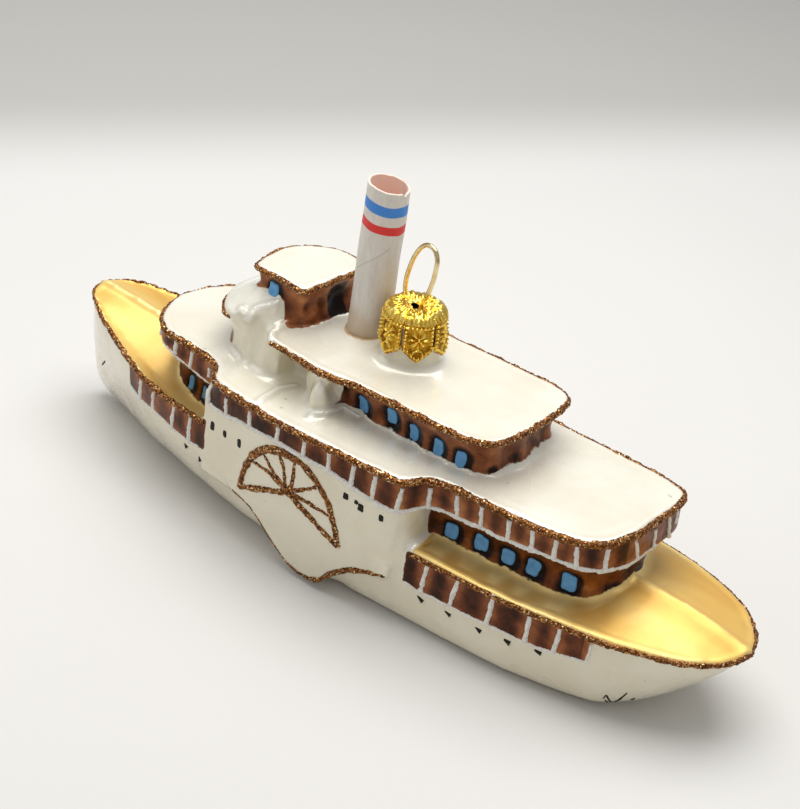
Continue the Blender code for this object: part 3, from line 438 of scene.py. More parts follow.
# Melting the forms into one skin
CORNER_ROUNDS = 3
CORNER_CUT = 0.22
VOXEL = 0.5
SOFTEN_ROUNDS = 7
SHRINK_SHARE = 0.55
REGROW_SHARE = 0.30
HOLLOW_ROUNDS = 24
BLUR_SHARE = 0.6
LEVEL_HOLLOW = 0.12
HOLLOW_FILL = 0.5
FILL_ROUNDS = 3
WINDOW_SPREAD_X = 0.75
WINDOW_SPREAD_Z = 0.62
# Hollows nearer the middle than this aren't repeated to starboard
MIDDLE_HALF = 2.0
CREASE_FAR = 3.0
# The underside stays flat below this height
FLAT_KEEL_Z = 0.4
FLAT_KEEL_FADE = 1.5

# Where the paint ends: x from and to, y from and to, or heights from and to
WALL_SLOPE = 0.55
BAND_TOP = 29.9
BAND_GAP = (29.4, 30.6)
HOUSE_WINDOWS = 8
HOUSE_ENDS = (-53.5, 52.0)
BOX_ENDS = (-16.2, 30.5)
AFT_WALL_X = -18.4
AFT_WALL_HALF = 13.5
SALOON_ENDS = (-31.0, 6.0)
SALOON_HALF = 12.3
SALOON_LEVELS = (30.5, 38.15)
WHEELHOUSE_ENDS = (16.6, 31.6)
WHEELHOUSE_SIDES = (-10.2, 7.8)
WHEELHOUSE_HEAD_Z = 47.0
FRONT_X = 27.0
FRONT_HALF = 10.6
FRONT_LEVELS = (31.4, 38.3)
BOW_BAND_ENDS = (29.0, 52.4)
STERN_BAND_ENDS = (-51.8, -16.5)
STERN_BAND_TOP = 15.5
# Painted shade: the neck's top inside the cap is painted near black above this height and within this radius
MOUTH_Z = 47.6
MOUTH_RADIUS = 4.6
GOLD_GAP = (-17.4, 30.9)
GOLD_TOP = 26.3
DOOR_ENDS = (16.0, 22.0)
DOOR_SIDES = (-4.6, -0.2)
DOOR_LEVELS = (38.6, 45.3)
DAB_POWER = 4.2
DAB_RAGGED = 0.22


def smooth_read(xs, ys, at):
    """ys read at any x along a smooth curve that never overshoots its points."""
    xs = np.asarray(xs, float)
    ys = np.asarray(ys, float)
    step = np.diff(xs)
    slope = np.diff(ys) / step
    turn = np.zeros(len(xs))
    same = slope[:-1] * slope[1:] > 0
    turn[1:-1][same] = 2 / (1 / slope[:-1][same] + 1 / slope[1:][same])
    turn[0], turn[-1] = slope[0], slope[-1]
    at = np.clip(at, xs[0], xs[-1])
    k = np.clip(np.searchsorted(xs, at, side="right") - 1, 0, len(step) - 1)
    t = (at - xs[k]) / step[k]
    h = step[k]
    return (
        (2 * t**3 - 3 * t**2 + 1) * ys[k] + (t**3 - 2 * t**2 + t) * h * turn[k]
        + (3 * t**2 - 2 * t**3) * ys[k + 1] + (t**3 - t**2) * h * turn[k + 1]
    )


def lines_at(table, x, *columns):
    """Columns of a table read at x along its first one."""
    return [smooth_read(table[:, 0], table[:, column], x) for column in columns]


def whole(half):
    """The whole outline of a half that starts and ends at the middle. One that is whole stays as it is."""
    if min(y for _, y in half) < 0:
        return list(half)
    return list(half) + [(x, -y) for x, y in reversed(half) if y > 0]


def rounded(points):
    """A closed outline with its corners cut back to a smooth curve."""
    points = np.asarray(points, float)
    for _ in range(CORNER_ROUNDS):
        after = np.roll(points, -1, axis=0)
        near = points * (1 - CORNER_CUT) + after * CORNER_CUT
        far = points * CORNER_CUT + after * (1 - CORNER_CUT)
        points = np.stack((near, far), axis=1).reshape(-1, 2)
    return points


def half_width(half, at):
    """Half width of an outline at each x, and 0 past its ends."""
    table = np.array(sorted(half))
    return np.interp(at, table[:, 0], table[:, 1], left=0.0, right=0.0)


def deselect():
    bpy.ops.object.select_all(action="DESELECT")


def only(obj):
    deselect()
    obj.select_set(True)
    bpy.context.view_layer.objects.active = obj


def edit(obj):
    only(obj)
    bpy.ops.object.mode_set(mode="EDIT")
    bpy.ops.mesh.select_all(action="SELECT")


def end_edit():
    bpy.ops.object.mode_set(mode="OBJECT")


def apply_all(obj):
    only(obj)
    for modifier in list(obj.modifiers):
        bpy.ops.object.modifier_apply(modifier=modifier.name)


def coords(obj):
    values = np.empty(len(obj.data.vertices) * 3, np.float64)
    obj.data.vertices.foreach_get("co", values)
    return values.reshape(-1, 3)


def set_coords(obj, values):
    obj.data.vertices.foreach_set("co", np.ascontiguousarray(values, np.float32).ravel())
    obj.data.update()


def added(name, operator, **settings):
    """A new object from one of Blender's primitives."""
    deselect()
    operator(**settings)
    obj = bpy.context.object
    obj.name = name
    return obj


def face_outward(obj):
    edit(obj)
    bpy.ops.mesh.normals_make_consistent(inside=False)
    end_edit()


def draw_out(obj, *offset):
    """Draws a flat form out to a thickness, by an offset in mm."""
    edit(obj)
    bpy.ops.mesh.extrude_region_move(TRANSFORM_OT_translate={"value": [step * MM for step in offset]})
    end_edit()


def lumps(place, scale=1.0):
    """Smooth random values between -1 and 1 at each place."""
    return np.array([noise.noise(Vector(p) * scale) for p in place])


def polar(radius, turn, height):
    """Points round an upright axis."""
    return np.column_stack(np.broadcast_arrays(radius * np.cos(turn), radius * np.sin(turn), height))


def normals(obj):
    values = np.empty(len(obj.data.vertices) * 3, np.float64)
    obj.data.vertices.foreach_get("normal", values)
    return values.reshape(-1, 3)


def skewed(outline, shift):
    """The outline with its starboard aft corner drawn further aft."""
    reach = np.clip((SKEW_START - outline[:, 0]) / SKEW_RUN, 0, 1)
    side = np.clip(-outline[:, 1] / SKEW_SIDE, 0, SKEW_MOST)
    moved = outline.copy()
    moved[:, 0] -= shift * reach * side**2
    return moved


def plate(name, half, low, high, top=None, shift=0.0, low_edge=None):
    """A flat outline drawn up to a thickness.

    top gives the upper face its own outline, and low_edge gives the lower one its own heights along x.
    """
    outline = skewed(rounded(whole(half)), shift)
    circle = bpy.ops.mesh.primitive_circle_add
    obj = added(name, circle, vertices=len(outline), radius=MM, fill_type="NGON")
    set_coords(obj, np.column_stack((outline, np.full(len(outline), low))) * MM)
    draw_out(obj, 0, 0, high - low)
    placed = coords(obj)
    upper = placed[:, 2] > (low + high) / 2 * MM
    if top is not None:
        placed[upper, :2] = skewed(rounded(whole(top)), shift) * MM
    if low_edge is not None:
        placed[~upper, 2] = np.interp(placed[~upper, 0] / MM, low_edge[:, 0], low_edge[:, 1]) * MM
    set_coords(obj, placed)
    face_outward(obj)
    return obj


def hull_section(x, angle):
    """y and z of the hull's skin.

    angle runs from 0 at the port rim, up over the deck to pi, and back under the keel.
    """
    beam, rim, bottom, flat, side, ridge, square = lines_at(HULL, x, *range(1, 8))
    across = np.cos(angle)
    share = np.abs(across)
    over = np.sin(angle) >= 0
    heights = (ridge, side + (ridge - side) * DECK_FALL, side, (rim + side) / 2, rim)
    deck = np.zeros_like(x)
    for i in range(4):
        t = (share - DECK_SHARES[i]) / (DECK_SHARES[i + 1] - DECK_SHARES[i])
        deck = np.where((t >= 0) & (t <= 1), heights[i] + (heights[i + 1] - heights[i]) * t, deck)
    turned = np.arcsin(np.clip(np.abs(np.sin(angle)), 0, 1)) / (math.pi / 2)
    bend = np.clip(turned / FLAT_SHARE, 0, 1) * math.pi / 2
    above = turned < FLAT_SHARE
    out = np.where(above, np.cos(bend), 0) ** (2 / square)
    strip = np.where(above, flat, flat * (1 - turned) / (1 - FLAT_SHARE))
    y_under = strip + (beam - flat) * out
    z_under = rim - (rim - bottom) * np.sin(bend) ** (2 / square)
    return np.where(over, share * beam, y_under) * np.sign(across), np.where(over, deck, z_under)


def make_hull():
    ball = bpy.ops.mesh.primitive_uv_sphere_add
    obj = added("hull form", ball, segments=HULL_SIDES, ring_count=HULL_RINGS, radius=1.0)
    placed = coords(obj)
    along = placed[:, 2].clip(-1, 1)
    x = np.where(along > 0, along * HULL[-1, 0], -along * HULL[0, 0])
    y, z = hull_section(x, np.arctan2(placed[:, 1], placed[:, 0]) % (2 * math.pi))
    set_coords(obj, np.column_stack((x, y, z)) * MM)
    face_outward(obj)
    return obj


def bridge_height(x, y):
    """Height of the bridge front's skin over a point of the deck."""
    inner_y, inner_z, outer_y, outer_z, middle, foot = lines_at(BRIDGE, x, *range(1, 7))
    wall = np.minimum(BRIDGE_WALL_Y, inner_y * BRIDGE_WALL_SHARE)
    height = middle.copy()
    for near, near_z, far, far_z in (
        (wall, middle, inner_y, inner_z),
        (inner_y, inner_z, outer_y, outer_z),
        (outer_y, outer_z, foot, BRIDGE_FOOT_Z),
    ):
        t = np.clip((y - near) / np.maximum(far - near, 0.05), 0, 1)
        height = np.where(y >= near, near_z + (far_z - near_z) * t, height)
    return height


def make_bridge():
    grid = bpy.ops.mesh.primitive_grid_add
    obj = added("bridge form", grid, x_subdivisions=90, y_subdivisions=110, size=2.0)
    flat = coords(obj)
    low, high = BRIDGE[0, 0], BRIDGE[-1, 0]
    x = low + (high - low) * np.sin((flat[:, 0] + 1) / 2 * math.pi / 2)
    y = smooth_read(BRIDGE[:, 0], BRIDGE[:, 6], x) * np.interp(np.abs(flat[:, 1]), *BRIDGE_SPREAD)
    set_coords(obj, np.column_stack((x, y * np.sign(flat[:, 1]), bridge_height(x, y))) * MM)
    draw_out(obj, 0, 0, -1)
    place = coords(obj) / MM
    place[len(place) // 2:, 2] = BRIDGE_BASE_Z
    back = np.clip((UNDERCUT_TOP - place[:, 2]) / UNDERCUT_DROP, 0, 1)
    back *= np.clip((place[:, 0] - UNDERCUT_AFT) / UNDERCUT_RUN, 0, 1)
    middle, half_length, half_beam = BRIDGE_OVAL
    ahead = np.column_stack(((place[:, 0] - middle) / half_length**2, place[:, 1] / half_beam**2))
    ahead /= np.maximum(np.linalg.norm(ahead, axis=1), 1e-6)[:, None]
    place[:, :2] -= ahead * (UNDERCUT * back**2 * (3 - 2 * back))[:, None]
    set_coords(obj, place * MM)
    face_outward(obj)
    return obj


def ellipsoid(name, centre, half_sizes):
    obj = added(name, bpy.ops.mesh.primitive_uv_sphere_add, segments=64, ring_count=32, radius=1.0)
    set_coords(obj, (coords(obj) * half_sizes + centre) * MM)
    return obj


def cylinder(name, centre, low, high, radius, top_radius):
    """An upright round form with a radius at its foot and one at its top."""
    obj = added(
        name, bpy.ops.mesh.primitive_cone_add, vertices=64, radius1=radius * MM, radius2=top_radius * MM,
        depth=(high - low) * MM,
    )
    set_coords(obj, coords(obj) + np.array((*centre, (low + high) / 2)) * MM)
    return obj


def wheel_box():
    """The housing that hangs below each paddle box, drawn right across the hull."""
    circle = bpy.ops.mesh.primitive_circle_add
    obj = added("wheel box form", circle, vertices=len(WHEEL_BOX), radius=MM, fill_type="NGON")
    set_coords(obj, np.array([(x, WHEEL_BOX_FACE, z) for x, z in WHEEL_BOX]) * MM)
    draw_out(obj, 0, -2 * WHEEL_BOX_FACE, 0)
    face_outward(obj)
    return obj


def body_forms():
    """Every form that the mould gives the glass, before they are melted into one skin."""
    low, high = PROMENADE_TOP - FORM_LAP, ROOF_TOP - FORM_LAP
    (pillar_x, pillar_y, pillar_z), pillar_sizes = PILLAR
    *funnel_place, funnel_foot = FUNNEL_FOOT
    forms = [make_hull(), wheel_box(), make_bridge()]
    forms += [
        ellipsoid("pillar form", (pillar_x, pillar_y * side, pillar_z), pillar_sizes) for side in (1, -1)
    ]
    forms += [
        plate("sponson form", SPONSON, 9.6, 26.6),
        plate("forward house form", FORWARD_HOUSE, 14.0, 26.0),
        plate("aft house form", AFT_HOUSE, 13.0, 26.0),
        plate(
            "promenade form", PROMENADE_FOOT, PROMENADE_LOW, PROMENADE_TOP, PROMENADE, PROMENADE_AFT_SHIFT,
            BAND_LOW,
        ),
        plate("saloon form", SALOON_FOOT, low, high, SALOON_HEAD, ROOF_AFT_SHIFT),
        plate("fore block form", FORE_BLOCK, low, high),
        plate("recess wall form", RECESS_WALL, low, high),
        plate("upper roof form", UPPER_ROOF, ROOF_LOW, ROOF_TOP, shift=ROOF_AFT_SHIFT),
        plate("wheelhouse form", WHEELHOUSE_WALL, ROOF_TOP - 1.0, WHEELHOUSE_TOP - 0.5, WHEELHOUSE_HEAD),
        plate("wheelhouse roof form", WHEELHOUSE_ROOF, WHEELHOUSE_LOW, WHEELHOUSE_TOP),
        ellipsoid("roof swell form", (ROOF_SWELL_X, 0, ROOF_TOP - 0.25), ROOF_SWELL),
        cylinder("funnel pad form", funnel_place, ROOF_TOP - 0.6, funnel_foot - 0.6, *FUNNEL_PAD_RADII),
        cylinder("neck form", (0, 0), NECK_FOOT, NECK_TOP, NECK_RADIUS, NECK_RADIUS),
    ]
    return forms


def neighbour_mean(values, first, second, counts):
    total = np.empty_like(values)
    for axis in range(values.shape[1]):
        total[:, axis] = np.bincount(first, weights=values[second, axis], minlength=len(values))
        total[:, axis] += np.bincount(second, weights=values[first, axis], minlength=len(values))
    return total / counts[:, None]


def soften(obj, rounds, fills=0):
    """Rounds creases as melted glass does, without shrinking the form, and fills hollows fills times.

    Gives how hollow each place is in mm, below 0 on a ridge.
    """
    edges = np.empty(len(obj.data.edges) * 2, np.int64)
    obj.data.edges.foreach_get("vertices", edges)
    first, second = edges[0::2], edges[1::2]
    placed = coords(obj)
    counts = np.bincount(first, minlength=len(placed)) + np.bincount(second, minlength=len(placed))

    def eased(values, share):
        return values + share * (neighbour_mean(values, first, second, counts) - values)

    for _ in range(rounds):
        placed = eased(eased(placed, SHRINK_SHARE), -REGROW_SHARE)
    set_coords(obj, placed)
    for step in range(fills + 1):
        blurred = placed
        for _ in range(HOLLOW_ROUNDS):
            blurred = eased(blurred, BLUR_SHARE)
        hollow = ((blurred - placed) * normals(obj)).sum(axis=1) / MM
        if step < fills:
            level = np.exp(-((hollow / LEVEL_HOLLOW) ** 2))
            settle = np.maximum(level, np.where(hollow > 0, HOLLOW_FILL, 0.0))
            placed = placed + (blurred - placed) * settle[:, None]
            set_coords(obj, placed)
    return hollow


def window_rows():
    """Every painted window, with those on the port side repeated to starboard."""
    return [
        (x, y * side, *sizes)
        for x, y, *sizes in WINDOWS + FRONT_WINDOWS
        for side in ((1, -1) if y > 0 else (1,))
    ]


def sculpt(body):
    """Presses the windows and doorway into the glass and gives it the unevenness of a mould-blown piece.

    Gives how far every place is from a sharp crease, in mm.
    """
    place = coords(body) / MM
    out = normals(body)
    move = lumps(place, 0.09) * 0.2 + lumps(place, 0.3) * 0.07
    for x, y, z, width, height, depth in window_rows():
        away = place - (x, y, z)
        across = np.hypot(away[:, 0], away[:, 1]) / (width * WINDOW_SPREAD_X)
        reach = np.hypot(across, away[:, 2] / (height * WINDOW_SPREAD_Z))
        move -= depth * np.exp(-(reach**3))
    for x, y, z, radius, depth in HOLLOWS:
        for side in (1, -1) if y > MIDDLE_HALF else (1,):
            reach = np.linalg.norm((place - (x, y * side, z)) / radius, axis=1)
            move -= depth * np.exp(-(reach**2))
    crease = np.full(len(place), CREASE_FAR)
    skin = glass_tree(body)
    for radius, rise, points in FOLDS:
        for side in (1, -1):
            fold = resampled(np.array(points) * (1, side, 1), 0.4)
            if rise > 0:
                fold = np.array([skin.find_nearest(Vector(p) * MM)[0] for p in fold]) / MM
            centre = (fold.min(axis=0) + fold.max(axis=0)) / 2
            span = np.ptp(fold, axis=0) / 2 + 3 * radius
            near = np.flatnonzero((np.abs(place - centre) < span).all(axis=1))
            reach = np.min(np.linalg.norm(place[near, None] - fold[None], axis=2), axis=1) / radius
            move[near] += rise * np.exp(-(reach**2))
            if rise > 0:
                crease[near] = np.minimum(crease[near], reach * radius)
    grip = np.clip((place[:, 2] - FLAT_KEEL_Z) / FLAT_KEEL_FADE, 0, 1)
    set_coords(body, (place + out * (move * grip)[:, None]) * MM)
    return crease


def deck_level(x, share):
    """Height of the hull's deck at a share of the half beam."""
    rim, side, ridge = lines_at(HULL, x, 2, 5, 6)
    _, crown, flank, _, edge = DECK_SHARES
    near = ridge + (side - ridge) * (1 - DECK_FALL) * np.clip(share / crown, 0, 1)
    far = (side - ridge) * DECK_FALL * np.clip((share - crown) / (flank - crown), 0, 1)
    return near + far + (rim - side) * np.clip((share - flank) / (edge - flank), 0, 1)


def within(value, low, high):
    """How far inside a range each value lies, below 0 outside it."""
    return np.minimum(value - low, high - value)


def zone(*parts):
    """How far inside all of its parts each point lies."""
    return np.minimum.reduce(parts)


def paint_zones(place, out):
    """How far inside each painted zone every point lies, in mm: brown, gold, dark and gilt underneath.

    The last one is how far each point of a panel lies from the strokes that divide it.
    """
    x, y, z = place.T
    side = np.abs(y)
    wall = (WALL_SLOPE - out[:, 2]) * 1.5
    beam, rim = lines_at(HULL, x, 1, 2)
    deck = deck_level(x, np.clip(side / np.maximum(beam, 0.1), 0, 1))
    band_low = np.interp(x, *BAND_LOW.T)
    under = half_width(PROMENADE_FOOT, x) + 0.4 - side
    under = np.where(y < 0, under + 2.5 * np.clip((-40 - x) / 6, 0, 1), under)
    foot = 0.75 + deck
    for window in WINDOWS[:HOUSE_WINDOWS]:
        foot = foot - 0.5 * np.exp(-(((x - window[0]) / 1.5) ** 2))
    back_wall = np.where(x > AFT_WALL_X, AFT_WALL_HALF - side, 9.0)
    hull_side = zone(side - beam + 1.4, wall)
    box_top = -within(x, *BAND_GAP) * 2

    promenade_band = zone(within(z, band_low, BAND_TOP), wall, box_top)
    house = zone(
        within(z, foot, band_low + 0.6), under + 0.6, -within(x, *BOX_ENDS), (0.75 - out[:, 2]) * 1.5,
        within(x, *HOUSE_ENDS), back_wall,
    )
    saloon = zone(within(z, *SALOON_LEVELS), within(x, *SALOON_ENDS), SALOON_HALF - side, wall)
    wheelhouse_foot = np.interp(x, *WHEELHOUSE_FOOT.T) + 0.1
    wheelhouse = zone(
        within(z, wheelhouse_foot, WHEELHOUSE_HEAD_Z), within(x, *WHEELHOUSE_ENDS),
        within(y, *WHEELHOUSE_SIDES), (0.9 - out[:, 2]) * 3,
    )
    front = zone((out[:, 0] - 0.55) * 3, FRONT_HALF - side, x - FRONT_X, within(z, *FRONT_LEVELS), wall)
    bow_band = zone(within(x, *BOW_BAND_ENDS), within(z, np.interp(x, *BOW_BAND_LOW.T), rim - 0.1), hull_side)
    aft_edge = STERN_BAND_ENDS[0] + (z - STERN_BAND_TOP) * -0.1
    stern_low = np.interp(x, *STERN_BAND_LOW.T)
    stern_band = zone(within(x, aft_edge, STERN_BAND_ENDS[1]), within(z, stern_low, rim - 0.1), hull_side)
    # Painted shade: the neck's top inside the cap, brown lacquer darkened to near black
    mouth_shade = zone(z - MOUTH_Z, MOUTH_RADIUS - np.hypot(x, y))
    brown = np.maximum.reduce((promenade_band, house, saloon, wheelhouse, front, bow_band, stern_band, mouth_shade))
    gold = zone(
        beam + 0.15 - side, z - deck + 0.9, -within(x, *GOLD_GAP), GOLD_TOP - z, (out[:, 2] - 0.12) * 3,
    )

    dark = mouth_shade.copy()
    for cx, cy, cz, width, height, depth in window_rows():
        across = np.hypot(x - cx + 0.35, y - cy) / (width / 2 + 0.75 + depth * 0.3)
        tall = np.abs(z - cz + 0.1) / (height / 2 + 0.55 + depth * 0.3)
        dark = np.maximum(dark, (1 - (across**3 + tall**3) ** (1 / 3)) * 1.6)
    dark = np.maximum(dark, zone(within(y, *DOOR_SIDES), within(z, *DOOR_LEVELS), within(x, *DOOR_ENDS)))
    # Painted shadow at the foot of walls
    for *centre, radius in FOOT_SHADOWS:
        dark = np.maximum(dark, 0.9 - np.linalg.norm((place - centre) * (1, 1, 1.5), axis=1) / radius)

    panel = np.full(len(place), 9.0)
    for row in DIVIDERS:
        middle_x, middle_y, middle_z = np.reshape(row, (2, 3)).mean(axis=0)
        away = np.hypot(x - middle_x, side - middle_y)
        panel = np.where(np.abs(z - middle_z) < 4.0, np.minimum(panel, away), panel)
    banded = (np.maximum.reduce((promenade_band, bow_band, stern_band)) > -0.3) & (panel < 4.5)
    boxes = np.clip((30.5 - x) / 1.0, 0, 1) * np.clip((x + 15.0) / 1.0, 0, 1) * (promenade_band > 0)
    panel = np.where(banded, panel + boxes * np.clip(1 - (z - band_low) / 5.0, 0, 1) * 1.3, 1.2)
    return brown, gold, dark, np.maximum(np.where(brown < 0.5, gold, -1.0), house), panel


def set_value(obj, name, values):
    attribute = obj.data.attributes.new(name, "FLOAT", "POINT")
    attribute.data.foreach_set("value", np.ascontiguousarray(values, np.float32))


def make_body(pearl, gilt):
    forms = body_forms()
    deselect()
    for form in forms:
        form.select_set(True)
    bpy.context.view_layer.objects.active = forms[0]
    bpy.ops.object.join()
    body = bpy.context.object
    body.name = "painted_glass"
    body.data.name = "painted_glass"
    remesh = body.modifiers.new("one skin", "REMESH")
    remesh.mode = "VOXEL"
    remesh.voxel_size = VOXEL * MM
    remesh.use_smooth_shade = True
    apply_all(body)
    soften(body, SOFTEN_ROUNDS, FILL_ROUNDS)
    crease = sculpt(body)
    hollow = soften(body, 2)
    out = normals(body)
    brown, gold, dark, gilded, panel = paint_zones(coords(body) / MM, out)
    for name, values in (
        ("brown", brown), ("gold", gold), ("dark", dark), ("hollow", hollow), ("panel", panel),
        ("crease", crease), ("upward", out[:, 2]),
    ):
        set_value(body, name, values)
    body.data.materials.append(pearl)
    body.data.materials.append(gilt)
    corners = np.empty(len(body.data.loops), np.int64)
    body.data.loops.foreach_get("vertex_index", corners)
    starts = np.empty(len(body.data.polygons), np.int64)
    body.data.polygons.foreach_get("loop_start", starts)
    gilt_faces = (np.minimum.reduceat(gilded[corners], starts) > 0.3).astype(np.int32)
    body.data.polygons.foreach_set("material_index", gilt_faces)
    body.data.update()
    return body


def glass_tree(body):
    points = [Vector(p) for p in coords(body)]
    return BVHTree.FromPolygons(points, [tuple(face.vertices) for face in body.data.polygons])


def resampled(points, step, closed=False):
    points = np.asarray(points, float)
    if closed:
        points = np.vstack((points, points[:1]))
    along = np.concatenate(([0], np.cumsum(np.linalg.norm(np.diff(points, axis=0), axis=1))))
    count = max(3, int(round(along[-1] / step)))
    at = np.linspace(0, along[-1], count + 1)
    if closed:
        at = at[:-1]
    return np.column_stack([np.interp(at, along, points[:, axis]) for axis in range(3)])


def laid_on_glass(points, lift):
    """The points set down on the glass, and the glass's own direction there."""
    placed = []
    facing = []
    for point in points:
        spot, out, _, _ = GLASS.find_nearest(Vector(point) * MM)
        placed.append(np.array(spot) / MM + np.array(out) * lift)
        facing.append(np.array(out))
    return np.array(placed), np.array(facing)


def bead_line(points, radius, closed=False, wander=0.1, uneven=0.3, sides=2):
    """A round bead of uneven width drawn along the points. radius lists its width from end to end."""
    points = np.asarray(points, float)
    count = len(points)
    widths = np.interp(np.linspace(0, 1, count), np.linspace(0, 1, len(radius)), radius)
    drift = np.array([noise.noise_vector(Vector(p) * 0.35) for p in points]) * wander
    obj = added("bead", bpy.ops.curve.primitive_nurbs_path_add)
    curve = obj.data
    curve.splines.clear()
    spline = curve.splines.new("POLY")
    spline.points.add(count - 1)
    spline.points.foreach_set("co", np.column_stack(((points + drift) * MM, np.ones(count))).ravel())
    spline.points.foreach_set("radius", widths * (1 + uneven * lumps(points, 0.9)))
    spline.use_cyclic_u = closed
    curve.dimensions = "3D"
    curve.bevel_depth = MM
    curve.bevel_resolution = sides
    curve.use_fill_caps = not closed
    bpy.ops.object.convert(target="MESH")
    return bpy.context.object


def joined(name, parts, material):
    deselect()
    for part in parts:
        part.select_set(True)
    bpy.context.view_layer.objects.active = parts[0]
    if len(parts) > 1:
        bpy.ops.object.join()
    obj = bpy.context.object
    obj.name = name
    obj.data.name = name
    obj.data.materials.clear()
    obj.data.materials.append(material)
    edit(obj)
    bpy.ops.mesh.remove_doubles(threshold=0.00001)
    bpy.ops.mesh.normals_make_consistent(inside=False)
    end_edit()
    bpy.ops.object.shade_smooth()
    return obj


def roughen(obj, coarse, fine):
    """Lumps of two sizes along the surface's own direction."""
    place = coords(obj) / MM
    move = lumps(place, 1.6) * coarse + lumps(place, 4.5) * fine
    set_coords(obj, (place + normals(obj) * move[:, None]) * MM)


def mirrored(points):
    return np.asarray(points, float) * np.array((1, -1, 1))


def outline_line(half, z, shift=0.0, keep=None):
    """Points along a deck's edge. keep leaves out those further forward."""
    outline = skewed(rounded(whole(half)), shift)
    if keep is not None:
        first = int(np.argmax(outline[:, 0] > keep))
        outline = np.roll(outline, -first, axis=0)
        outline = outline[outline[:, 0] <= keep]
    return np.column_stack((outline, np.full(len(outline), z)))


def rim_line(inner, outer):
    """Points along the hull's rim from port round the end to starboard."""
    turn = np.linspace(math.asin(abs(inner / outer)), math.pi / 2, 260)
    x = outer * np.sin(turn)
    beam, rim = lines_at(HULL, x, 1, 2)
    port = np.column_stack((x, beam + 0.4, rim - 0.7))
    return np.vstack((port, mirrored(port)[::-1][1:]))


def glitter_on(name, runs, material):
    """Beads of glitter glue set down on the glass. Each run: points, widths, closed, lift."""
    beads = []
    for points, widths, closed, lift in runs:
        placed, _ = laid_on_glass(resampled(points, 0.25, closed), lift)
        bead = bead_line(placed, widths, closed, wander=0.16, sides=4)
        lump = min(0.13, 0.24 * float(np.mean(widths)))
        roughen(bead, lump, lump * 1.2)
        beads.append(bead)
    return joined(name, beads, material)


def bridge_line():
    x = np.linspace(*BRIDGE_LINE_ENDS, 60)
    y, z = lines_at(BRIDGE, x, 3, 4)
    port = np.column_stack((x, y + 0.2, z - 0.1))
    return np.vstack((port, mirrored(port)[::-1]))


def on_box(points, side):
    return [(x, side * 20.4, z) for x, z in points]


def fan_runs(side):
    """Glitter beads of one paddle fan: the arc, its two straight edges, the spokes and the hub."""
    x, z = FAN_HUB
    runs = [(FAN_RIM, (0.6, 0.8, 0.85, 0.7, 0.6, 0.6), -0.2)]
    runs += [((FAN_HUB, end), (0.66, 0.55), -0.18) for end in (FAN_RIM[0], FAN_RIM[-1])]
    runs += [((*spoke, FAN_HUB), (0.38, 0.5), -0.15) for spoke in FAN_SPOKES]
    runs.append((((x - 0.7, z - 0.3), (x + 0.8, z + 0.4)), (0.9, 1.0, 0.8), -0.3))
    return [(on_box(points, side), widths, False, lift) for points, widths, lift in runs]


def box_line_runs(side):
    edge = [(x, z + 0.45) for x, z in WHEEL_BOX[1:-1]]
    thin = [p for p in edge if p[0] > 1.0]
    thick = [(2.9, 1.25)] + [p for p in edge if p[0] < 2.6]
    face = WHEEL_BOX_FACE + 0.3
    return [
        ([(x, side * face, z) for x, z in thin], (0.12, 0.16, 0.24), False, 0.0),
        ([(x, side * face, z) for x, z in thick], (0.28, 0.55, 0.5, 0.2), False, 0.0),
    ]


def relief_runs(side):
    """Strokes and lines of relief paint on one side: points, widths, how far above the glass."""
    turn = np.array((1, side, 1))
    runs = [(np.reshape(row, (2, 3)) * turn, (0.42, 0.46, 0.48), -0.1) for row in DIVIDERS]
    strokes = PORT_STROKES if side > 0 else STARBOARD_STROKES
    runs += [(np.reshape(row, (2, 3)), (0.42, 0.46), -0.1) for row in strokes]
    runs.append((np.array(RELIEF_RUN) * turn, (RELIEF_RADIUS,), -0.14))
    runs += [(np.array(run) * turn, (THIN_RELIEF_RADIUS,), -0.08) for run in THIN_RUNS]
    return runs


def relief_on(name, runs, material):
    beads = []
    for points, widths, lift in runs:
        placed, _ = laid_on_glass(resampled(points, 0.3), lift)
        beads.append(bead_line(placed, widths, wander=0.12))
    obj = joined(name, beads, material)
    roughen(obj, 0.12, 0.13)
    return obj


def dab(centre, width, height, rise):
    """A blob of paint with a rounded square outline, moulded to the glass behind it."""
    spot, facing = laid_on_glass([centre], 0.0)
    out = facing[0]
    across = np.cross((0, 0, 1), out)
    across /= np.linalg.norm(across)
    up = np.cross(out, across)
    obj = added("dab", bpy.ops.mesh.primitive_uv_sphere_add, segments=28, ring_count=14, radius=1.0)
    ball = coords(obj)
    turn = np.arctan2(ball[:, 1], ball[:, 0])
    flat = np.hypot(ball[:, 0], ball[:, 1])
    square = (np.abs(np.cos(turn)) ** DAB_POWER + np.abs(np.sin(turn)) ** DAB_POWER) ** (-1 / DAB_POWER)
    reach = square * flat / 2 * (1 + DAB_RAGGED * lumps(polar(1.3, turn, centre[0] + centre[2])))
    a = np.cos(turn) * reach * width
    b = np.sin(turn) * reach * height
    placed, faces = laid_on_glass(spot[0] + a[:, None] * across + b[:, None] * up, 0.0)
    dome = np.clip(1 - flat**6, 0, 1) ** 0.5
    lift = np.where(ball[:, 2] > 0, rise * (0.15 + 0.85 * dome), -0.25 * dome)
    set_coords(obj, (placed + faces * lift[:, None]) * MM)
    return obj


def turned_from(turn, start):
    """The angle from start to turn, between half a turn back and half a turn on."""
    return ((turn - start + math.pi) % (2 * math.pi)) - math.pi


